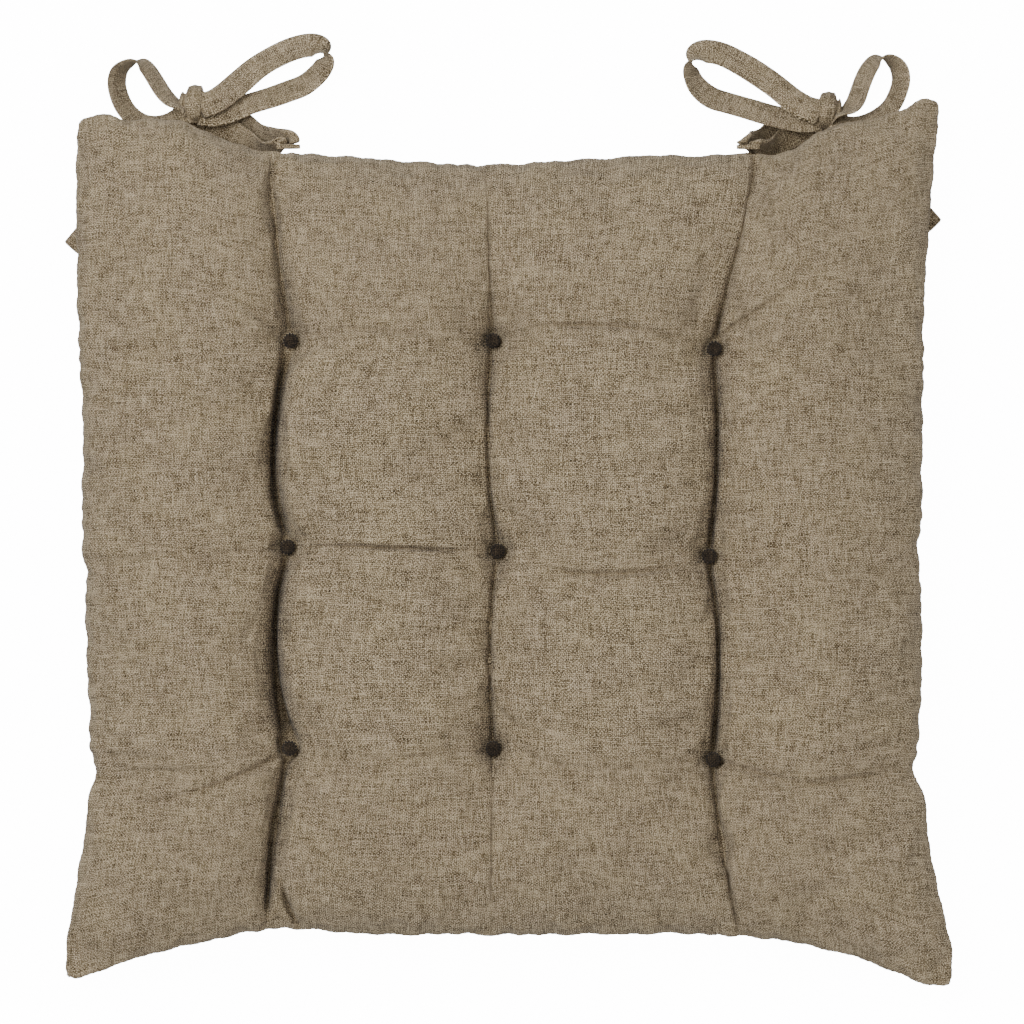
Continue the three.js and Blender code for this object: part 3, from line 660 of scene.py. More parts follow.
    # The narrow gaps and the fine lines, where the rolls of the cloth meet.
    slits: list[Slit] = field(default_factory=lambda: [
        Slit([(-101.5, 90, 2, 1.6, 0.3), (-104, 76, 9, 1.4, 0.3), (-106.4, 54, 13, 1.2, 0.4),
              (-107.2, 32, 15, 1.2, 0.5), (-106.2, 19, 15, 1.2, 0.7), (-103.8, 9, 12, 1.5, 0.6),
              (-101.2, 3, 4, 2, 0.5), (-101.4, -7, 3, 2.4, 0.3), (-103.4, -15, 6, 1.8, 0.2),
              (-105.5, -26, 11, 1.2, 0.3), (-106.2, -45, 15, 1.2, 0.4), (-105.4, -63, 18, 1.2, 0.9),
              (-103.2, -76, 19, 1.4, 1.7), (-101.2, -84, 15, 1.7, 2.7), (-99.8, -91, 8, 2.2, 3.9),
              (-100.2, -98, 4, 2.6, 1.0)]),
        Slit([(-101.5, -104, 2, 2, 0.2), (-105.5, -118, 4, 1.5, 0.2), (-107.8, -132, 8, 1.2, 0.3),
              (-109, -148, 9, 1.2, 0.3), (-109.7, -162, 7, 1.2, 0.3), (-109.8, -168, 0, 1.4, 0.2)]),
        Slit([(-108.5, 165, 0, 2, 0.1), (-107.4, 150, 1.4, 2, 0.1), (-105.6, 130, 1.4, 2, 0.1),
              (-102.4, 108, 1.6, 2.2, 0.1), (-100, 97, 1.4, 2.2, 0.1)]),
        Slit([(-7.4, 112, 0, 2.4, 0.1), (-7.2, 104, 0.8, 2.4, 0.1), (-7, 97, 1.6, 2.4, 0.1), (-8.4, 84, 3, 2, 0.1),
              (-9.2, 62, 2.6, 1.6, 0.1), (-9.4, 42, 2.2, 1.6, 0.1), (-8.6, 24, 2.6, 1.6, 0.1), (-6.4, 8, 3.4, 2, 0.1),
              (-5.2, 2, 2, 2.2, 0.2), (-5.6, -9, 2, 2, 0.1), (-7.6, -24, 2.4, 1.6, 0.1), (-8.4, -48, 2.2, 1.6, 0.1),
              (-8, -70, 2.4, 1.6, 0.1), (-7.2, -86, 3.2, 2, 0.2), (-7, -99, 2, 2.4, 0.1), (-7, -112, 0, 2.4, 0.1)]),
        Slit([(93.8, 84, 3, 2, 0.2), (94.8, 66, 5, 1.3, 0.1), (94.6, 44, 5, 1.2, 0.1), (93.8, 22, 5, 1.2, 0.1),
              (92, 4, 6, 1.6, 0.3), (91.4, -11, 4, 1.6, 0.2), (93.6, -26, 5, 1.3, 0.2), (95.2, -48, 6, 1.2, 0.2),
              (94.8, -72, 6, 1.3, 0.3), (93.4, -90, 6, 1.8, 0.4), (93, -104, 2.4, 2, 0.2), (95, -118, 2, 1.6, 0.1),
              (98.5, -142, 2, 1.5, 0.1), (102.5, -164, 2, 1.5, 0.1), (104, -172, 0, 1.5, 0.1)]),
        Slit([(93.8, 94, 3, 2, 0.2), (95.6, 102, 3.4, 1.8, 0.2), (99, 112, 2, 2, 0.1), (103, 126, 0, 2, 0.1)]),
        Slit([(-140, 122, 0, 2, 0.1), (-126, 112, 2.2, 2, 0.1), (-112, 102, 2.8, 2, 0.1), (-103, 94.5, 2, 2.2, 0.1)]),
        Slit([(95, 93, 3, 2, 0.1), (104, 100, 3.4, 2, 0.1), (118, 109, 3, 2, 0.1), (137, 121.5, 0, 2, 0.1)]),
        Slit([(-104, -96, 3, 2.4, 0.1), (-119, -104, 2.8, 2.2, 0.1), (-140, -112, 2.4, 2.4, 0.1),
              (-160, -117, 1.6, 2.4, 0.1), (-180, -121, 0, 2.4, 0.1)]),
        Slit([(96, -99, 3, 2.4, 0.1), (112, -103.5, 2.4, 2.4, 0.1), (134, -108.5, 2, 2.6, 0.1),
              (160, -106, 1.6, 2.6, 0.1), (184, -103, 0, 2.6, 0.1)]),
        Slit([(-80, -1.2, 0, 2, 0.1), (-62, -1.5, 2.4, 1.7, 0.1), (-44, -2.2, 3.4, 1.6, 0.15),
              (-30, -2.9, 2.6, 1.7, 0.1), (-18, -3.2, 0, 2, 0.1)]),
        Slit([(4, -7, 0, 2, 0.1), (24, -12.4, 2, 2, 0.1), (46, -13.6, 2.4, 2, 0.1), (70, -11.6, 2, 2, 0.1),
              (86, -7.5, 0, 2, 0.1)]),
        Slit([(6, 96.5, 0, 2, 0.1), (26, 98.6, 1.7, 2, 0.1), (44, 98.6, 1.8, 2, 0.1), (64, 96.4, 1.4, 2, 0.1),
              (84, 91, 0, 2, 0.1)]),
        Slit([(-92, 94, 0, 2, 0.1), (-74, 97, 1.4, 2, 0.1), (-56, 96, 1.2, 2, 0.1), (-36, 94, 0, 2, 0.1)]),
        Slit([(-103, -150, 0, 1.8, 0.1), (-101.5, -160, 5, 1.8, 0.3), (-97.4, -170, 5, 1.8, 0.3),
              (-93, -178, 0, 1.8, 0.1)]),
        Slit([(113, 178, 0, 2, 0.1), (111.6, 170, 3, 2, 0.2), (110.6, 160, 3, 2, 0.2), (110.4, 152, 0, 2, 0.1)]),
    ])
    span_cells: int = 42
    crowding: float = 0.55
    lump: float = 0.9
    slack: float = 0.035
    pressure: float = 4.0
    frames: int = 16
    most_swell: float = 7.0
    wall_gap: float = 0.35

    def lines(self, anchors: Sequence[float]) -> np.ndarray:
        """The flat cover's grid lines, which crowd towards the edges and the tufts."""
        stops = (-self.flat_half, *anchors, self.flat_half)
        t = np.arange(self.span_cells) / self.span_cells
        eased = t - self.crowding * np.sin(2 * math.pi * t) / (2 * math.pi)
        spans = [a + (b - a) * eased for a, b in zip(stops[:-1], stops[1:])]
        return np.concatenate([*spans, [self.flat_half]])

    def plan(self, flat_x: np.ndarray, flat_y: np.ndarray) -> tuple[np.ndarray, np.ndarray]:
        """Where a place on the flat cover lies from above, with a grid line along each crease."""
        corners = self.outline.corners
        width = corners["front_right"][0] - corners["front_left"][0]
        rough_x = flat_x / self.flat_half * width / 2
        edges = {side: self.outline.edge(side, rough_x) for side in (Side.FRONT, Side.REAR)}
        tied = np.array([[self.tufts[row][k] for k in range(3)] for row in ROWS])
        knots = [np.interp(rough_x, tied[r, :, 0], tied[r, :, 1]) for r in range(3)]
        flank = smoothstep(np.abs(rough_x), 100, 200)
        y = self.spread(flat_y, self.flat_rows, edges[Side.FRONT],
                        [k * (1 - flank) + f * flank for k, f in zip(knots, self.flat_rows)], edges[Side.REAR])
        left, right = (self.outline.edge(side, y) for side in (Side.LEFT, Side.RIGHT))
        x = self.spread(flat_x, self.flat_columns, left, [crease.crossing(y) for crease in self.creases], right)
        corner = self.corner_round * (np.abs(flat_x * flat_y) / self.flat_half ** 2) ** self.corner_sharpness
        return x - np.sign(flat_x) * corner, y - np.sign(flat_y) * corner

    def spread(self, flat: np.ndarray, anchors: Sequence[float], low: np.ndarray, middle: list[np.ndarray],
               high: np.ndarray) -> np.ndarray:
        """Carries a flat coordinate to its place, straight between the places of the edges and the anchors."""
        stops = (-self.flat_half, *anchors, self.flat_half)
        places = (low, *middle, high)
        result = np.zeros_like(flat)
        for a, b, p, q in zip(stops[:-1], stops[1:], places[:-1], places[1:]):
            inside = (flat >= a) & (flat <= b)
            share = (flat - a) / (b - a)
            result = np.where(inside, p + (q - p) * share, result)
        return result

    def rim_level(self, u: np.ndarray, v: np.ndarray) -> np.ndarray:
        """The height of the seam, which droops at the corners."""
        return self.seam_level - self.corner_droop * np.abs(u * v) ** 3

    def lumps(self, x: np.ndarray, y: np.ndarray) -> np.ndarray:
        """The unevenness of the fibre inside, from -1 to 1."""
        rng = np.random.default_rng(7)
        total = np.zeros_like(x)
        for wave in (34.0, 34.0, 26.0, 26.0, 19.0, 19.0, 15.0):
            turn, phase = rng.uniform(0, 2 * math.pi, 2)
            total += np.sin((x * math.cos(turn) + y * math.sin(turn)) / wave * 2 * math.pi + phase) * wave / 34
        return total / 4

    def top_level(self, x: np.ndarray, y: np.ndarray, u: np.ndarray, v: np.ndarray) -> np.ndarray:
        """The height of the top panel."""
        round_u, round_v = (np.sqrt(np.maximum(1 - np.abs(t) ** 3.2, 0)) for t in (u, v))
        rim = self.rim_level(u, v)
        full = round_u * round_v
        level = rim + (self.crown - self.seam_level) * full + self.lump * self.lumps(x, y) * full
        column = np.maximum.reduce([crease.depth(x, y) for crease in self.creases])
        pulled = np.maximum.reduce([pull.depth(x, y) for pull in self.pulls])
        drawn = np.cbrt(column ** 3 + pulled ** 3)
        level = level - np.minimum(drawn, level - rim * 0.72 - self.tuft_top * 0.2)
        for places in self.tufts.values():
            for at in places:
                away = np.hypot(x - at[0], y - at[1])
                share = 0.6 * arched((away - self.tuft_patch) / self.tuft_reach)
                share += 0.4 * arched((away - self.tuft_patch) / self.tuft_wall)
                level = level + (self.tuft_top - level) * share
        return np.maximum(level, np.minimum(rim, self.tuft_top))

    def bottom_level(self, x: np.ndarray, y: np.ndarray, u: np.ndarray, v: np.ndarray) -> np.ndarray:
        """The height of the bottom panel, which lies flat on the seat."""
        round_u, round_v = (np.sqrt(np.maximum(1 - np.abs(t) ** 4, 0)) for t in (u, v))
        rim = self.rim_level(u, v)
        level = np.maximum(rim * (1 - 1.25 * round_u * round_v), 0)
        for places in self.tufts.values():
            for at in places:
                away = np.hypot(x - at[0], y - at[1])
                level += (self.tuft_bottom - level) * (1 - smoothstep(away, self.under_patch, self.under_reach))
        return level

    def laid(self, flat: np.ndarray, panel: np.ndarray, axis: int) -> np.ndarray:
        """A flat coordinate of the cloth, run out to the true length where the panel turns down to its edge.

        Args:
            flat: the coordinate at each place of the grid.
            panel: the places of the panel.
            axis: which way the coordinate runs.

        Returns:
            The coordinate, so that the weave keeps its scale on the sides.
        """
        run = np.linalg.norm(np.diff(panel, axis=axis), axis=-1)
        middle = (flat[:, 1:] + flat[:, :-1]) / 2
        extra = np.where(np.abs(middle) > self.turn_down, np.maximum(run - np.diff(flat, axis=axis), 0), 0)
        total = np.concatenate([np.zeros((len(flat), 1)), np.cumsum(extra, axis=axis)], axis)
        return flat + total - total[:, total.shape[1] // 2][:, None]

    def build(self) -> bpy.types.Object:
        """The cover as one closed mesh, filled and drawn down, with its pattern laid on the flat cloth."""
        xs, ys = self.lines(self.flat_columns), self.lines(self.flat_rows)
        flat_x, flat_y = np.meshgrid(xs, ys)
        x, y = self.plan(flat_x, flat_y)
        u, v = flat_x / self.flat_half, flat_y / self.flat_half
        rows, columns = flat_x.shape
        rim = np.zeros(flat_x.shape, bool)
        rim[[0, -1], :] = rim[:, [0, -1]] = True
        top = np.stack([x, y, self.top_level(x, y, u, v)], -1)
        bottom = np.stack([x, y, self.bottom_level(x, y, u, v)], -1)
        top[rim, 2] = bottom[rim, 2] = self.rim_level(u, v)[rim]
        upper = np.arange(rows * columns).reshape(rows, columns)
        lower = upper.copy()
        inner = ~rim
        lower[inner] = rows * columns + np.arange(inner.sum())
        vertices = np.vstack([top.reshape(-1, 3), bottom[inner]]) * MM
        top_cloth, bottom_cloth = (
            np.stack([self.laid(flat_x, panel, 1), self.laid(flat_y.T, panel.transpose(1, 0, 2), 1).T], -1)
            for panel in (top, bottom))
        pattern = np.vstack([top_cloth.reshape(-1, 2), bottom_cloth[inner]]) * MM
        a, b, c, d = upper[:-1, :-1], upper[:-1, 1:], upper[1:, 1:], upper[1:, :-1]
        faces = [np.stack([a, b, c, d], -1).reshape(-1, 4)]
        a, b, c, d = lower[:-1, :-1], lower[:-1, 1:], lower[1:, 1:], lower[1:, :-1]
        faces.append(np.stack([a, d, c, b], -1).reshape(-1, 4))
        piece = object_of("cover", vertices, np.vstack(faces))
        paint_uv(piece, pattern)
        self.held = self.hold(x, y, rim, upper, lower, inner)
        self.inflate(piece)
        self.part_walls(piece, len(vertices))
        self.finish_surface(piece)
        return piece

    def hold(self, x: np.ndarray, y: np.ndarray, rim: np.ndarray, upper: np.ndarray, lower: np.ndarray,
             inner: np.ndarray) -> np.ndarray:
        """How firmly the seam, the tufts and the creases hold each vertex, from 0 to 1."""
        held = np.zeros(upper.size + inner.sum())
        grip = rim.astype(float)
        under = rim.astype(float)
        for places in self.tufts.values():
            for at in places:
                away = np.hypot(x - at[0], y - at[1])
                grip = np.maximum(grip, 1 - smoothstep(away, self.tuft_patch, self.tuft_patch + 3))
                under = np.maximum(under, 1 - smoothstep(away, self.under_patch, self.under_patch + 3))
        for crease in self.creases:
            near = 1 - smoothstep(np.abs(x - crease.crossing(y)) - crease.opening(y), 0.3, 2.2)
            grip = np.maximum(grip, near * smoothstep(crease.depth(x, y), 8, 18))
        held[upper.ravel()] = grip.ravel()
        held[lower[inner]] = under[inner]
        return held

    def inflate(self, piece: bpy.types.Object) -> None:
        """Fills the cover by cloth simulation, with its seam, tufts and creases held, and keeps the result."""
        start = np.zeros(len(piece.data.vertices) * 3)
        piece.data.vertices.foreach_get("co", start)
        start = start.reshape(-1, 3)
        group = piece.vertex_groups.new(name="held")
        for level in np.unique(np.round(self.held, 2)):
            if level > 0:
                group.add(np.flatnonzero(np.round(self.held, 2) == level).tolist(), float(level), "REPLACE")
        cloth = piece.modifiers.new("filling", "CLOTH")
        cloth.settings.vertex_group_mass = group.name
        cloth.settings.quality = 4
        cloth.settings.tension_stiffness = cloth.settings.compression_stiffness = 15
        cloth.settings.shear_stiffness = 5
        cloth.settings.bending_stiffness = 0.08
        cloth.settings.shrink_min = -self.slack
        cloth.settings.use_pressure = True
        cloth.settings.uniform_pressure_force = self.pressure
        cloth.settings.effector_weights.gravity = 0
        cloth.collision_settings.use_collision = False
        cloth.collision_settings.use_self_collision = False
        cloth.point_cache.frame_end = self.frames
        scene = bpy.context.scene
        for moment in range(1, self.frames + 1):
            scene.frame_set(moment)
        mesh = evaluated_mesh(piece, "cover_filled")
        piece.modifiers.clear()
        piece.vertex_groups.clear()
        scene.frame_set(1)
        filled = np.zeros(len(mesh.vertices) * 3)
        mesh.vertices.foreach_get("co", filled)
        moved = filled.reshape(-1, 3) - start
        reach = np.linalg.norm(moved, axis=1, keepdims=True)
        log.info("the cloth moved %.1f mm at most, %.1f mm on average", reach.max() / MM, reach.mean() / MM)
        cap = self.most_swell * MM
        moved *= cap * np.tanh(reach / cap) / np.maximum(reach, 1e-9)
        piece.data.vertices.foreach_set("co", (start + moved).ravel())
        bpy.data.meshes.remove(mesh)

    def part_walls(self, piece: bpy.types.Object, count: int) -> None:
        """Keeps the two walls of each crease on their own sides, and the underside on the seat."""
        at = np.zeros(count * 3)
        piece.data.vertices.foreach_get("co", at)
        at = at.reshape(-1, 3) / MM
        columns = 4 * self.span_cells + 1
        grid = at[:columns * columns].reshape(columns, columns, 3)
        for k, crease in enumerate(self.creases):
            middle = (k + 1) * self.span_cells
            line = grid[:, middle, 0].copy()
            opening = crease.opening(grid[:, middle, 1])
            for j in range(1, self.span_cells):
                gap = np.minimum(self.wall_gap * j, opening)
                near = smoothstep(-j, -14, -2)
                left, right = grid[:, middle - j, 0], grid[:, middle + j, 0]
                grid[:, middle - j, 0] = np.where(left > line - gap, left + (line - gap - left) * near, left)
                grid[:, middle + j, 0] = np.where(right < line + gap, right + (line + gap - right) * near, right)
        at[:, 2] = np.maximum(at[:, 2], 0)
        piece.data.vertices.foreach_set("co", (at * MM).ravel())
        piece.data.update()

    def finish_surface(self, piece: bpy.types.Object) -> None:
        """One subdivision of the cloth, with the narrow gaps and fine lines drawn into its upper side."""
        smooth = piece.modifiers.new("smooth", "SUBSURF")
        smooth.levels = smooth.render_levels = 1
        smooth.uv_smooth = "PRESERVE_BOUNDARIES"
        apply_modifiers(piece)
        at = np.zeros(len(piece.data.vertices) * 3)
        piece.data.vertices.foreach_get("co", at)
        at = at.reshape(-1, 3) / MM
        upper = at[:, 2] > 21
        x, y, z = at[upper].T
        drawn = np.maximum.reduce([slit.depth(x, y) for slit in self.slits])
        at[upper, 2] = z - drawn * smoothstep(z, 22, 29)
        piece.data.vertices.foreach_set("co", (at * MM).ravel())
        piece.data.update()

    def dress(self, piece: bpy.types.Object, cloth: bpy.types.Material) -> None:
        """Gives the cover its cloth and its place in the frame."""
        piece.data.materials.append(cloth)
        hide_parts("cover_top", "cover_bottom", "filling")
        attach(piece, "cushion")


@dataclass(frozen=True)
class Seam:
    """The thread of the edge seam: short stitches laid end to end along a line."""

    pitch: float = 3.1
    length: float = 2.5
    radius: float = 0.34
    sink: float = 0.2
    seed: int = 5

    def tree(self) -> bpy.types.NodeTree:
        """The node tree that lays a stitch at every pitch along a line of vertices."""
        tree = bpy.data.node_groups.new("stitches_along_line", "GeometryNodeTree")
        tree.interface.new_socket(name="Line", in_out="INPUT", socket_type="NodeSocketGeometry")
        for name in ("Pitch", "Length", "Radius"):
            tree.interface.new_socket(name=name, in_out="INPUT", socket_type="NodeSocketFloat")
        tree.interface.new_socket(name="Seed", in_out="INPUT", socket_type="NodeSocketInt")
        tree.interface.new_socket(name="Thread", in_out="INPUT", socket_type="NodeSocketMaterial")
        tree.interface.new_socket(name="Stitches", in_out="OUTPUT", socket_type="NodeSocketGeometry")
        given, result = tree.nodes.new("NodeGroupInput"), tree.nodes.new("NodeGroupOutput")
        kinds = ("MeshToCurve", "CurveToPoints", "MeshUVSphere", "InstanceOnPoints", "RealizeInstances",
                 "SetShadeSmooth", "SetMaterial")
        curve, points, ball, laid, real, smooth, dressed = (tree.nodes.new(f"GeometryNode{kind}") for kind in kinds)
        points.mode = "LENGTH"
        ball.inputs["Segments"].default_value, ball.inputs["Rings"].default_value = 8, 6
        ball.inputs["Radius"].default_value = 1.0
        half, size, vary = (tree.nodes.new(kind) for kind in
                            ("ShaderNodeMath", "ShaderNodeCombineXYZ", "FunctionNodeRandomValue"))
        half.operation = "MULTIPLY"
        vary.inputs["Min"].default_value, vary.inputs["Max"].default_value = 0.44, 0.5
        link = tree.links.new
        link(given.outputs["Line"], curve.inputs["Mesh"])
        link(curve.outputs["Curve"], points.inputs["Curve"])
        link(given.outputs["Pitch"], points.inputs["Length"])
        link(given.outputs["Seed"], vary.inputs["Seed"])
        link(given.outputs["Length"], half.inputs[0])
        link(next(out for out in vary.outputs if out.enabled and out.type == "VALUE"), half.inputs[1])
        link(given.outputs["Radius"], size.inputs["X"])
        link(given.outputs["Radius"], size.inputs["Y"])
        link(half.outputs["Value"], size.inputs["Z"])
        link(points.outputs["Points"], laid.inputs["Points"])
        link(points.outputs["Rotation"], laid.inputs["Rotation"])
        link(ball.outputs["Mesh"], laid.inputs["Instance"])
        link(size.outputs["Vector"], laid.inputs["Scale"])
        link(laid.outputs["Instances"], real.inputs["Geometry"])
        link(real.outputs["Geometry"], smooth.inputs[0])
        link(smooth.outputs[0], dressed.inputs["Geometry"])
        link(given.outputs["Thread"], dressed.inputs["Material"])
        link(dressed.outputs["Geometry"], result.inputs["Stitches"])
        return tree

    def line(self, pad: Pad, cover: bpy.types.Object) -> np.ndarray:
        """The line of the seam, half sunk in the cover's rim, all the way round."""
        t = np.linspace(-1, 1, 260, endpoint=False)
        ones = np.ones_like(t)
        u = np.concatenate([t, ones, -t, -ones])
        v = np.concatenate([-ones, t, ones, -t])
        x, y = pad.plan(u * pad.flat_half, v * pad.flat_half)
        skin = BVHTree.FromPolygons([vertex.co for vertex in cover.data.vertices],
                                    [face.vertices[:] for face in cover.data.polygons])
        line = []
        for place in np.stack([x, y, pad.rim_level(u, v)], -1) * MM:
            at, normal, *_ = skin.find_nearest(Vector(place))
            line.append(at - normal * self.sink * MM)
        return np.array(line)

    def build(self, pad: Pad, cover: bpy.types.Object, thread: bpy.types.Material) -> bpy.types.Object:
        """Lays the stitches and makes them a plain piece."""
        places = self.line(pad, cover)
        mesh = bpy.data.meshes.new("seam_line")
        ends = np.arange(len(places))
        mesh.from_pydata(places.tolist(), np.stack([ends, np.roll(ends, -1)], -1).tolist(), [])
        piece = bpy.data.objects.new("seam_stitches", mesh)
        bpy.context.scene.collection.objects.link(piece)
        tree = self.tree()
        laying = piece.modifiers.new("stitches", "NODES")
        laying.node_group = tree
        values = {"Pitch": self.pitch * MM, "Length": self.length * MM, "Radius": self.radius * MM,
                  "Seed": self.seed, "Thread": thread}
        for item in tree.interface.items_tree:
            if item.in_out == "INPUT" and item.name in values:
                laying[item.identifier] = values[item.name]
        plain = evaluated_mesh(piece, "seam_stitches")
        piece.modifiers.clear()
        piece.data = plain
        turn_out(piece)
        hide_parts("edge_seam_thread")
        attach(piece, "cushion")
        return piece


# ---------- The ties ----------


@dataclass(frozen=True)
class Stretch:
    """One run of a tie: the points it passes, and the way its width leans, evenly spaced along it."""

    points: list[Point]
    lean: list[Point]


@dataclass
class Ribbon:
    """A folded cloth tie, swept along a route with its width leaning as it is told."""

    width: float = 12.5
    thickness: float = 1.5
    gathered: float = 5.0
    gather_share: float = 0.55
    step: float = 1.3
    sides: int = 20
    cup: float = 0.35
    flutter: float = 0.16

    def course(self, stretches: Sequence[Stretch]) -> tuple[np.ndarray, np.ndarray, np.ndarray]:
        """Joins stretches into one run.

        Args:
            stretches: in the order they are passed; the first one starts at its gathered end.

        Returns:
            The middle line, the direction of the width and the width, at even steps.
        """
        centres, leans, widths = [], [], []
        for number, stretch in enumerate(stretches):
            shares = np.linspace(0, 1, 8 * (len(stretch.points) - 1) + 1)
            centres.append(centripetal(stretch.points, shares))
            leans.append(unit(centripetal(stretch.lean, shares)))
            gather = smoothstep(shares, 0, self.gather_share) if number == 0 else np.ones_like(shares)
            widths.append(self.gathered + (self.width - self.gathered) * gather)
        centre, lean, width = np.vstack(centres), np.vstack(leans), np.concatenate(widths)
        for i in range(1, len(lean)):
            if lean[i] @ lean[i - 1] < 0:
                lean[i:] *= -1
        gone = np.concatenate([[0], np.cumsum(np.linalg.norm(np.diff(centre, axis=0), axis=1))])
        even = np.linspace(0, gone[-1], int(gone[-1] / self.step) + 1)
        centre = np.stack([blurred(np.interp(even, gone, centre[:, k]), 2) for k in range(3)], -1)
        lean = np.stack([blurred(np.interp(even, gone, lean[:, k]), 3) for k in range(3)], -1)
        return centre, lean, np.interp(even, gone, width)

    def sweep(self, name: str, centre: np.ndarray, lean: np.ndarray, width: np.ndarray, seed: int) -> bpy.types.Object:
        """The ribbon itself, closed at both ends, with its pattern running along it."""
        along = unit(np.gradient(centre, axis=0))
        across = unit(lean - (lean * along).sum(1, keepdims=True) * along)
        through = np.cross(along, across)
        gone = np.concatenate([[0], np.cumsum(np.linalg.norm(np.diff(centre, axis=0), axis=1))])
        rng = np.random.default_rng(seed)
        phases = rng.uniform(0, 2 * math.pi, 4)
        angles = np.arange(self.sides) / self.sides * 2 * math.pi
        wide = np.sign(np.cos(angles)) * np.abs(np.cos(angles)) ** 0.45
        thick = np.sign(np.sin(angles)) * np.abs(np.sin(angles)) ** 0.75
        pinch = (width / self.width)[:, None]
        swell = (1 + 1.2 * (1 - pinch)) * self.thickness / 2
        bend = self.cup * (wide ** 2 - 0.5) * (0.6 + 0.4 * np.sin(gone / 23 + phases[0]))[:, None]
        sway = np.sin(gone / 6.3 + phases[1] + 0.8 * np.sin(gone / 17 + phases[2]))
        bend = bend + self.flutter * wide * sway[:, None]
        pleats = 0.5 * (1 - pinch) * np.cos(wide * 9)
        edge = 1 + 0.012 * np.sin(gone / 4.1 + phases[3])[:, None]
        rings = (centre[:, None] + across[:, None] * (wide * width[:, None] / 2 * edge)[..., None]
                 + through[:, None] * (thick * swell + bend + pleats)[..., None])
        rings[..., 2] = np.maximum(rings[..., 2], 0.05)
        count = len(centre)
        first = np.arange(count - 1)[:, None] * self.sides + np.arange(self.sides)
        after = np.arange(count - 1)[:, None] * self.sides + (np.arange(self.sides) + 1) % self.sides
        quads = np.stack([first, after, after + self.sides, first + self.sides], -1).reshape(-1, 4)
        last = (count - 1) * self.sides
        ends = [list(range(self.sides))[::-1], [last + k for k in range(self.sides)]]
        piece = object_of(name, rings.reshape(-1, 3) * MM, [*quads.tolist(), *ends])
        pattern = np.stack(np.broadcast_arrays(gone[:, None], wide * width[:, None] / 2 + thick * 0.8 + 9 * seed), -1)
        paint_uv(piece, pattern.reshape(-1, 2) * MM)
        turn_out(piece)
        soften = piece.modifiers.new("soften", "SUBSURF")
        soften.levels = soften.render_levels = 1
        apply_modifiers(piece)
        return piece


@dataclass
class Bow:
    """The two ties of a rear corner, tied in a bow that lies behind the pad."""

    side: str
    root: Point
    knot_at: Point
    stretches: dict[str, Stretch]
    seed: int
    ribbon: Ribbon = field(default_factory=Ribbon)
    knot_half: Point = (7.0, 8.0, 7.3)
    band_share: float = 0.62
    # Which stretches each tie runs through, from its root to its tip.
    orders: dict[str, tuple[str, str, str]] = field(default_factory=lambda: {
        "inner": ("inner_tie", "inner_loop", "outer_tail"),
        "outer": ("outer_tie", "outer_loop", "inner_tail"),
    })

    def build(self, cloth: bpy.types.Material) -> None:
        """Both ties, the knot and the sewn ends."""
        knot = self.knot(cloth)
        for number, (which, names) in enumerate(self.orders.items()):
            centre, lean, width = self.ribbon.course([self.stretches[name] for name in names])
            strand = self.ribbon.sweep(f"{self.side}_{which}_strand", centre, lean, width, self.seed + number)
            strand.data.materials.append(cloth)
            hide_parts(*(f"{self.side}_{name}" for name in names))
            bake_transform(strand)
        self.sewn_end(cloth)

    def knot(self, cloth: bpy.types.Material) -> bpy.types.Object:
        """The wrapped knot: a pulled-in band between two bunched shoulders."""
        around, along = 64, 40
        theta = np.linspace(-math.pi, math.pi, around, endpoint=False)
        s = np.linspace(-1, 1, along)
        girth = (1 - np.abs(s) ** 2.6) ** (1 / 2.6)
        band = 1 - 0.4 * np.exp(-((np.abs(s) - self.band_share) / 0.1) ** 2) + 0.08 * (np.abs(s) < self.band_share)
        s_grid, theta_grid = np.meshgrid(s, theta, indexing="ij")
        folds = 1 + 0.025 * np.cos(s_grid * 11 + 0.8 * np.sin(theta_grid * 2 + self.seed)) * (1 - np.abs(s_grid))
        folds += 0.02 * np.sin(theta_grid * 3 + self.seed) * (1 - s_grid ** 2)
        radius = np.maximum(girth * blurred(band, 1), 0.02)[:, None] * folds
        skew = 0.12 * np.cos(theta_grid)
        x = (s_grid + skew * (1 - s_grid ** 2)) * self.knot_half[0]
        y = radius * np.cos(theta_grid) * self.knot_half[1]
        z = radius * np.sin(theta_grid) * self.knot_half[2]
        places = np.stack([x, y, z], -1).reshape(-1, 3) + np.array(self.knot_at)
        first = np.arange(along - 1)[:, None] * around + np.arange(around)
        after = np.arange(along - 1)[:, None] * around + (np.arange(around) + 1) % around
        quads = np.stack([first, after, after + around, first + around], -1).reshape(-1, 4)
        last = (along - 1) * around
        ends = [list(range(around))[::-1], [last + k for k in range(around)]]
        piece = object_of(f"{self.side}_knot_wrap", places * MM, [*quads.tolist(), *ends])
        pattern = np.stack([np.abs(theta_grid) * 7.5 + 40 * self.seed, s_grid * 9], -1)
        paint_uv(piece, pattern.reshape(-1, 2) * MM)
        turn_out(piece)
        piece.data.materials.append(cloth)
        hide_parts(f"{self.side}_knot")
        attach(piece, f"{self.side}_bow")
        return piece

    def sewn_end(self, cloth: bpy.types.Material) -> None:
        """The gathered end of both ties, where it is caught in the seam."""
        low, high = (np.array(corner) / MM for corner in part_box(f"{self.side}_tie_end"))
        middle, size = (low + high) / 2, high - low
        reach = np.linspace(-1.2, size[1] + 0.4, 6)
        centre = np.stack([np.full(6, middle[0]), low[1] + reach, np.full(6, middle[2])], -1)
        lean = np.tile([1.0, 0.0, 0.0], (6, 1))
        tab = Ribbon(width=size[0], thickness=size[2], cup=0.0, flutter=0.0)
        piece = tab.sweep(f"{self.side}_sewn_end", centre, lean, np.full(6, size[0] * 0.98), self.seed + 5)
        piece.data.materials.append(cloth)
        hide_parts(f"{self.side}_tie_end")
        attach(piece, "cushion")


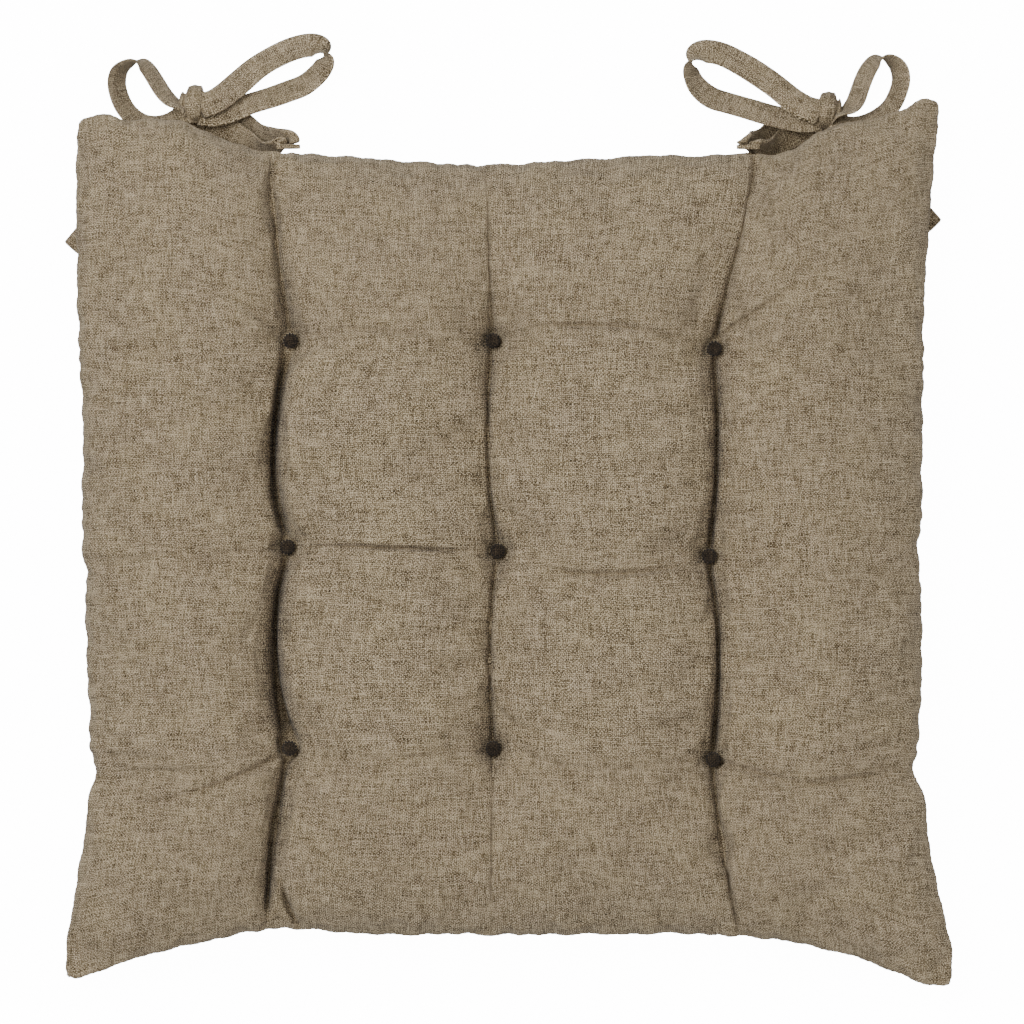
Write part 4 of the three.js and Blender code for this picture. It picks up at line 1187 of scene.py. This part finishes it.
LEFT_STRETCHES = {
    "inner_tie": Stretch(
        [(-97, 181.9, 27), (-97, 183.4, 26.7), (-99.4, 185.1, 24.3), (-103.7, 185.1, 19.7), (-108.4, 185, 13.8),
         (-113.4, 186.1, 9.1), (-119, 189.6, 5.7), (-125.5, 193.4, 4.2), (-132, 196, 3.9), (-139, 198, 3.9)],
        [(1, 0, 0), (0.2, 0.4, 0.8), (0.1, 0.8, 0.6), (0.25, 0.9, 0.2), (0.2, 1, 0.1)]),
    "outer_tie": Stretch(
        [(-103, 181.9, 27), (-103, 182.8, 26.2), (-104.9, 181.7, 22), (-108.7, 179.7, 16), (-113.2, 180.3, 11.7),
         (-118.3, 182.6, 9.3), (-124.8, 186.2, 7.3), (-132, 190.8, 6.4), (-139, 195, 6.5)],
        [(1, 0, 0), (-0.1, 0.4, 1), (0, 0.7, 0.8), (0.3, 0.9, 0.35), (0.3, 1, 0.1)]),
    "inner_loop": Stretch(
        [(-141, 199.5, 14), (-135, 201, 13.5), (-128.5, 205.3, 12), (-122, 210.8, 9.5), (-115, 216.9, 7),
         (-106.2, 222.3, 5.2), (-96.7, 226.3, 4.8), (-88.8, 227.4, 5.6), (-84.8, 225.6, 6.6), (-83.1, 222.3, 7.2),
         (-84, 218.4, 7.2), (-86.6, 214.8, 6.6), (-93.1, 209.3, 6), (-100.4, 206.4, 6.4), (-108.3, 203.5, 7.8),
         (-117.8, 200.6, 9.6), (-126.4, 197.6, 10.4), (-133, 195.8, 11), (-139, 196, 11)],
        [(0.5, -0.75, 0.3), (0.45, -0.8, 0.45), (0.3, -0.85, 0.5), (0.2, -0.75, 0.6), (0, -0.9, 0.35)]),
    "outer_loop": Stretch(
        [(-147, 199, 11.2), (-153, 201, 10.7), (-157.3, 205.3, 9), (-161.2, 211.5, 7.6), (-164.8, 216.9, 7),
         (-168.5, 220, 7.2), (-172.8, 219.4, 7.2), (-177.5, 216.2, 6.4), (-179, 210.4, 6), (-177.9, 204.6, 6),
         (-175.3, 198.8, 6.2), (-171.3, 194.4, 6.8), (-166.3, 191.8, 7.8), (-159, 191.4, 9.2),
         (-152, 193.6, 10.4), (-146, 197, 10.4)],
        [(-0.8, 0, 0.6), (-0.65, 0, 0.75), (-0.65, 0, 0.75), (-0.55, -0.4, 0.7), (0, -0.8, 0.5)]),
    "inner_tail": Stretch(
        [(-141, 197, 1.2), (-141, 191, 1.1), (-138, 184.5, 1), (-130, 178, 1), (-117, 174, 1), (-103, 171.8, 1),
         (-90, 170.6, 1)],
        [(1, 0, 0), (0.6, 0.8, 0), (0.2, 1, 0), (0.1, 1, 0)]),
    "outer_tail": Stretch(
        [(-145.5, 198, 3.9), (-150, 192.6, 3), (-158, 182.8, 1.3), (-170, 168.2, 1), (-184, 151.1, 1),
         (-198.5, 133.4, 1)],
        [(0.774, -0.634, 0), (0.774, -0.634, 0)]),
}
RIGHT_STRETCHES = {
    "inner_tie": Stretch(
        [(106, 181.8, 26.7), (106, 183.2, 26.3), (108.5, 183.7, 22), (111.2, 183, 14.5), (114.8, 184, 8.5),
         (119.2, 186.9, 5.5), (125, 190.2, 4.2), (131, 192.5, 3.9), (140, 195.4, 3.8)],
        [(1, 0, 0), (-0.2, 0.4, 0.8), (-0.1, 0.8, 0.6), (-0.25, 0.9, 0.2), (-0.2, 1, 0.1)]),
    "outer_tie": Stretch(
        [(112, 181.8, 26.7), (112, 182.6, 25.8), (114.3, 181.6, 20.3), (117.4, 180.6, 14.4), (121.3, 181.7, 10.1),
         (125.4, 184.1, 8.4), (130.8, 187.4, 7.1), (136, 190.7, 6.5), (141, 194.5, 6.7)],
        [(1, 0, 0), (0.1, 0.4, 1), (0, 0.8, 0.6), (-0.3, 0.9, 0.3), (-0.3, 1, 0.1)]),
    "inner_loop": Stretch(
        [(142.5, 196.5, 14.6), (136.5, 198, 14.8), (130.1, 201.7, 13.2), (122.2, 208.2, 10), (114.2, 214, 7),
         (105.5, 219.4, 5.2), (96.1, 223.8, 4.8), (88.1, 224.5, 5.6), (84.4, 222, 6.6), (82.9, 218.7, 7.2),
         (83.4, 214, 7.2), (85.9, 208.9, 6.6), (92.4, 203.4, 6.2), (101.1, 200.6, 7.2), (109.8, 198, 9.6),
         (118.5, 195.3, 12.2), (127.2, 193.4, 12.8), (134, 192.8, 12.8), (141, 193.4, 12.4)],
        [(-0.5, -0.75, 0.3), (-0.45, -0.8, 0.45), (-0.3, -0.85, 0.5), (-0.2, -0.75, 0.6), (0, -0.9, 0.35)]),
    "outer_loop": Stretch(
        [(149, 196, 11), (155, 197.6, 10.5), (158.2, 201, 9.2), (159.8, 205.3, 8), (163.1, 214, 7),
         (166, 218.7, 7), (169.6, 221.8, 7.2), (174.3, 220.9, 7.2), (177.9, 217.7, 6.4), (179.3, 211.8, 6),
         (177.9, 206, 6), (174.7, 199.5, 6.2), (170, 195.2, 6.8), (164.2, 192, 7.8), (157.6, 190.6, 9.2),
         (152, 191.6, 10.4), (148, 194, 10.4)],
        [(0.8, 0, 0.6), (0.65, 0, 0.75), (0.65, 0, 0.75), (0.55, -0.4, 0.7), (0, -0.8, 0.5)]),
    "inner_tail": Stretch(
        [(143, 194, 1.2), (142.5, 188, 1.1), (138.5, 181.5, 1), (130, 176.5, 1), (117, 173.5, 1),
         (104, 171.8, 1), (92, 170.6, 1)],
        [(1, 0, 0), (0.6, -0.8, 0), (0.2, -1, 0), (0.1, -1, 0)]),
    "outer_tail": Stretch(
        [(147, 195.4, 3.9), (151.3, 190.3, 3), (159, 181.7, 1.3), (170, 169.5, 1), (182, 156.3, 1),
         (193.7, 143.3, 1)],
        [(-0.74, -0.67, 0), (-0.74, -0.67, 0)]),
}


# ---------- The buttons ----------


@dataclass
class Button:
    """One tuft: a cloth-covered cap above, its twine through the pad, and the flat button it is tied off on."""

    name: str
    seed: int
    sectors: int = 56
    pleats: int = 14
    pleat_depth: float = 0.24
    thread_radius: float = 0.24
    loop_steps: int = 84
    ply_sides: int = 8
    ply_turn: float = 3.4

    def build(self, cloth: bpy.types.Material, plastic: bpy.types.Material, twine: bpy.types.Material,
              wire: bpy.types.Material) -> None:
        """Every piece of the tuft."""
        self.cap(cloth)
        self.under_button(plastic)
        self.twine(twine)
        plate = bpy.data.objects[f"button_plate_{self.name}"]
        plate.data.materials.clear()
        plate.data.materials.append(wire)

    def lathe(self, name: str, profile: np.ndarray, middle: np.ndarray, ripple: float = 0.0) -> bpy.types.Object:
        """A turned piece from a closed half section, with pleats that deepen towards its rim."""
        angles = np.arange(self.sectors) / self.sectors * 2 * math.pi
        widest = profile[:, 0].max()
        rim = smoothstep(profile[:, 0] / widest, 0.45, 0.9)[:, None]
        radius = profile[:, :1] * (1 + ripple * rim * (np.abs(np.cos(angles * self.pleats / 2 + self.seed)) - 0.6))
        rings = np.stack([radius * np.cos(angles), radius * np.sin(angles),
                          np.broadcast_to(profile[:, 1:], radius.shape)], -1)
        poles = np.array([[0, 0, profile[0, 1]], [0, 0, profile[-1, 1]]])
        places = np.vstack([rings.reshape(-1, 3), poles]) + middle
        count, n = len(profile), self.sectors
        quads = [(i * n + k, i * n + (k + 1) % n, (i + 1) * n + (k + 1) % n, (i + 1) * n + k)
                 for i in range(count - 1) for k in range(n)]
        fans = [((k + 1) % n, k, count * n) for k in range(n)]
        fans += [((count - 1) * n + k, (count - 1) * n + (k + 1) % n, count * n + 1) for k in range(n)]
        piece = object_of(name, places * MM, quads + fans)
        turn_out(piece)
        return piece

    def cap(self, cloth: bpy.types.Material) -> None:
        """The domed cap, its cloth gathered round the rim and tucked under."""
        low, high = (np.array(corner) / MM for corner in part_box(f"button_cap_{self.name}"))
        middle = np.array([(low[0] + high[0]) / 2, (low[1] + high[1]) / 2, low[2]])
        radius, height = (high[0] - low[0]) / 2 / (1 + self.pleat_depth * 0.4), high[2] - low[2]
        turn = np.linspace(0.04, 1, 16) * math.pi / 2
        dome = np.stack([radius * np.sin(turn) ** 0.9, 1.5 + (height - 1.5) * np.cos(turn) ** 0.8], -1)
        tuck = np.array([(1.0, 0.9), (0.99, 0.45), (0.94, 0.1), (0.84, 0.0), (0.6, 0.02), (0.3, 0.02), (0.06, 0.02)])
        profile = np.vstack([dome, tuck * (radius, 1.0)])
        piece = self.lathe(f"button_cloth_{self.name}", profile, middle, self.pleat_depth)
        at = np.zeros(len(piece.data.vertices) * 3)
        piece.data.vertices.foreach_get("co", at)
        flat = at.reshape(-1, 3)[:, :2] + (0.013 * self.seed, 0.007 * self.seed)
        paint_uv(piece, flat)
        piece.data.materials.append(cloth)
        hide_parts(f"button_cap_{self.name}")
        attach(piece, "cushion")

    def under_button(self, plastic: bpy.types.Material) -> None:
        """The flat button, dished between its rim and its two holes."""
        low, high = (np.array(corner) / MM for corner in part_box(f"under_button_{self.name}"))
        middle = np.array([(low[0] + high[0]) / 2, (low[1] + high[1]) / 2, low[2]])
        r, h = (high[0] - low[0]) / 2, high[2] - low[2]
        profile = np.array([(0.05 * r, 0.45), (0.3 * r, 0.44), (0.55 * r, 0.4), (0.66 * r, 0.26), (0.74 * r, 0.06),
                            (0.82 * r, 0), (0.91 * r, 0.03), (0.97 * r, 0.16 * h), (r, 0.35 * h), (r, 0.65 * h),
                            (0.97 * r, 0.86 * h), (0.9 * r, 0.97 * h), (0.8 * r, h), (0.4 * r, h), (0.05 * r, h)])
        piece = self.lathe(f"flat_button_{self.name}", profile, middle)
        twine_low, twine_high = (np.array(corner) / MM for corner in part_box(f"tuft_twine_{self.name}"))
        leg = (twine_high[0] - twine_low[0]) / 2 - 0.5
        for side in (-1, 1):
            self.drill(piece, middle + (side * leg, 0, 0), h)
        piece.data.materials.append(plastic)
        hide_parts(f"under_button_{self.name}")
        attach(piece, "cushion")

    def drill(self, piece: bpy.types.Object, at: np.ndarray, depth: float) -> None:
        """A round hole straight through the flat button."""
        angles = np.arange(24) / 24 * 2 * math.pi
        ring = np.stack([0.8 * np.cos(angles), 0.8 * np.sin(angles), np.zeros(24)], -1)
        places = np.vstack([ring - (0, 0, 1), ring + (0, 0, depth + 1)]) + at
        walls = [(k, (k + 1) % 24, 24 + (k + 1) % 24, 24 + k) for k in range(24)]
        bit = object_of("bit", places * MM, [*walls, list(range(24))[::-1], list(range(24, 48))])
        cut = piece.modifiers.new("hole", "BOOLEAN")
        cut.operation = "DIFFERENCE"
        cut.solver = "EXACT"
        cut.object = bit
        apply_modifiers(piece)
        bpy.data.objects.remove(bit)

    def twine(self, finish: bpy.types.Material) -> None:
        """The loop of three-ply twine, through the button's eye and the two holes underneath."""
        low, high = (np.array(corner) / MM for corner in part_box(f"tuft_twine_{self.name}"))
        middle = (low + high) / 2
        half = (high - low) / 2 - (0.5, 0, 0.5)
        straight = half[2] - half[0]
        turn = np.arange(self.loop_steps) / self.loop_steps
        length = 4 * straight + 2 * math.pi * half[0]
        gone = turn * length
        arc = math.pi * half[0]
        places, outs = [], []
        for distance in gone:
            if distance < arc:
                angle, rise = distance / half[0], straight
            elif distance < arc + 2 * straight:
                angle, rise = math.pi, straight - (distance - arc)
            elif distance < 2 * arc + 2 * straight:
                angle, rise = math.pi + (distance - arc - 2 * straight) / half[0], -straight
            else:
                angle, rise = 2 * math.pi, -straight + (distance - 2 * arc - 2 * straight)
            outs.append((math.cos(angle), 0.0, math.sin(angle)))
            places.append((half[0] * math.cos(angle), 0.0, rise + half[0] * math.sin(angle)))
        centre, out = np.array(places) + middle, np.array(outs)
        aside = np.array([0.0, 1.0, 0.0])
        vertices, faces = [], []
        turns = round(length / self.ply_turn)
        sides = self.ply_sides
        angles = np.arange(sides) / sides * 2 * math.pi
        for ply in range(3):
            lead = 2 * math.pi * (turn * turns + ply / 3)
            core = centre + 0.25 * (out * np.cos(lead)[:, None] + aside * np.sin(lead)[:, None])
            base = len(vertices) * sides * self.loop_steps
            rings = core[:, None] + self.thread_radius * (out[:, None] * np.cos(angles)[None, :, None]
                                                          + aside * np.sin(angles)[None, :, None])
            vertices.append(rings.reshape(-1, 3))
            for i in range(self.loop_steps):
                here, after = base + i * sides, base + (i + 1) % self.loop_steps * sides
                faces += [(here + k, here + (k + 1) % sides, after + (k + 1) % sides, after + k) for k in range(sides)]
        piece = object_of(f"twisted_twine_{self.name}", np.vstack(vertices) * MM, faces)
        turn_out(piece)
        piece.data.materials.append(finish)
        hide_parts(f"tuft_twine_{self.name}")
        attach(piece, "cushion")


# ---------- The studio ----------


@dataclass
class Studio:
    """A pale floor, a wide soft light overhead and an even surround, seen from straight above."""

    aim: Pair = (1.6, 14.3)
    level: float = 28.0
    distance: float = 5000.0
    width: float = 465.4
    sensor: float = 36.0
    floor_half: float = 3.0
    floor_drop: float = 0.0005
    floor_glow: float = 14.0

    def camera(self) -> bpy.types.Object:
        """The camera, looking straight down with the rear of the pad at the top of the picture."""
        data = bpy.data.cameras.new("camera")
        data.sensor_width = self.sensor
        data.lens = self.sensor * self.distance / self.width
        data.clip_start = 0.05
        camera = bpy.data.objects.new("camera", data)
        camera.location = (self.aim[0] * MM, self.aim[1] * MM, (self.distance + self.level) * MM)
        bpy.context.scene.collection.objects.link(camera)
        bpy.context.scene.camera = camera
        return camera

    def floor(self) -> bpy.types.Object:
        """The floor, of matt white card."""
        half, drop = self.floor_half, -self.floor_drop
        corners = np.array([(-half, -half, drop), (half, -half, drop), (half, half, drop), (-half, half, drop)])
        floor = object_of("floor", corners, [(0, 1, 2, 3)], smooth=False)
        tree = ShaderTree("white_card")
        x, y, z = tree.place()
        tooth = tree.noise(x / 60, y / 60, z, detail=2.0)
        tree.shader.inputs["Roughness"].default_value = 0.95
        tree.shader.inputs["Emission Color"].default_value = (1.0, 1.0, 1.0, 1.0)
        tree.shader.inputs["Emission Strength"].default_value = self.floor_glow
        white = tree.ramp(tooth, [(0, (0.9, 0.9, 0.9)), (1, (0.93, 0.93, 0.93))])
        floor.data.materials.append(tree.dress(Base_Color=white))
        floor.visible_diffuse = False
        floor.visible_glossy = False
        return floor

    def lamp(self, name: str, place: Point, size: float, power: float) -> None:
        """A square soft light that faces the pad."""
        data = bpy.data.lights.new(name, "AREA")
        data.shape = "SQUARE"
        data.size = size
        data.energy = power
        lamp = bpy.data.objects.new(name, data)
        lamp.location = place
        lamp.rotation_euler = (-Vector(place)).to_track_quat("-Z", "Y").to_euler()
        bpy.context.scene.collection.objects.link(lamp)

    def surround(self) -> None:
        """An even white surround."""
        world = bpy.data.worlds.new("surround")
        world.use_nodes = True
        background = world.node_tree.nodes["Background"]
        background.inputs["Color"].default_value = (1.0, 1.0, 1.0, 1.0)
        background.inputs["Strength"].default_value = 0.62
        bpy.context.scene.world = world

    def build(self) -> None:
        """Everything but the camera."""
        self.floor()
        self.surround()
        self.lamp("main", (-0.7, 0.6, 1.75), 1.1, 29.0)
        self.lamp("side", (1.2, -0.5, 1.2), 0.9, 4.0)


def main() -> None:
    """Builds the pad, its buttons and its ties, and reports each piece."""
    studio = Studio()
    studio.camera()
    cloth = LinenCloth().material()
    # The caps' cloth is painted far darker than the cover's, near black: painted shade for the deep pits that the caps
    # sit in.
    cap_cloth_painted_shade = LinenCloth(name="button_linen", dark=linear(4, 3, 2), shade=linear(24, 19, 13),
                           body=linear(46, 38, 29), light=linear(74, 63, 50)).material()
    twine = Thread(name="tufting_twine", dark=linear(120, 104, 78), light=linear(190, 174, 142)).material()
    plastic, wire = MouldedPlastic().material(), PlatedWire().material()
    Bow("left", (-100.0, 181.4, 27.0), (-143.5, 200.4, 8.0), LEFT_STRETCHES, 1).build(cloth)
    Bow("right", (109.0, 181.3, 26.7), (145.3, 197.4, 8.0), RIGHT_STRETCHES, 3).build(cloth)
    pad = Pad()
    cover = pad.build()
    pad.dress(cover, cloth)
    thread = Thread(name="seam_thread", dark=linear(92, 78, 56), light=linear(150, 133, 104)).material()
    Seam().build(pad, cover, thread)
    for number, name in enumerate(f"{row}_{column}" for row in ROWS for column in COLUMNS):
        Button(name, number + 1).build(cap_cloth_painted_shade, plastic, twine, wire)
    studio.build()
    for piece in sorted(bpy.context.scene.objects, key=lambda piece: piece.name):
        if piece.type == "MESH":
            log.info("%s has %d faces", piece.name, len(piece.data.polygons))


if __name__ == "__main__":
    logging.basicConfig(level=logging.INFO, format="%(name)s: %(message)s")
    main()
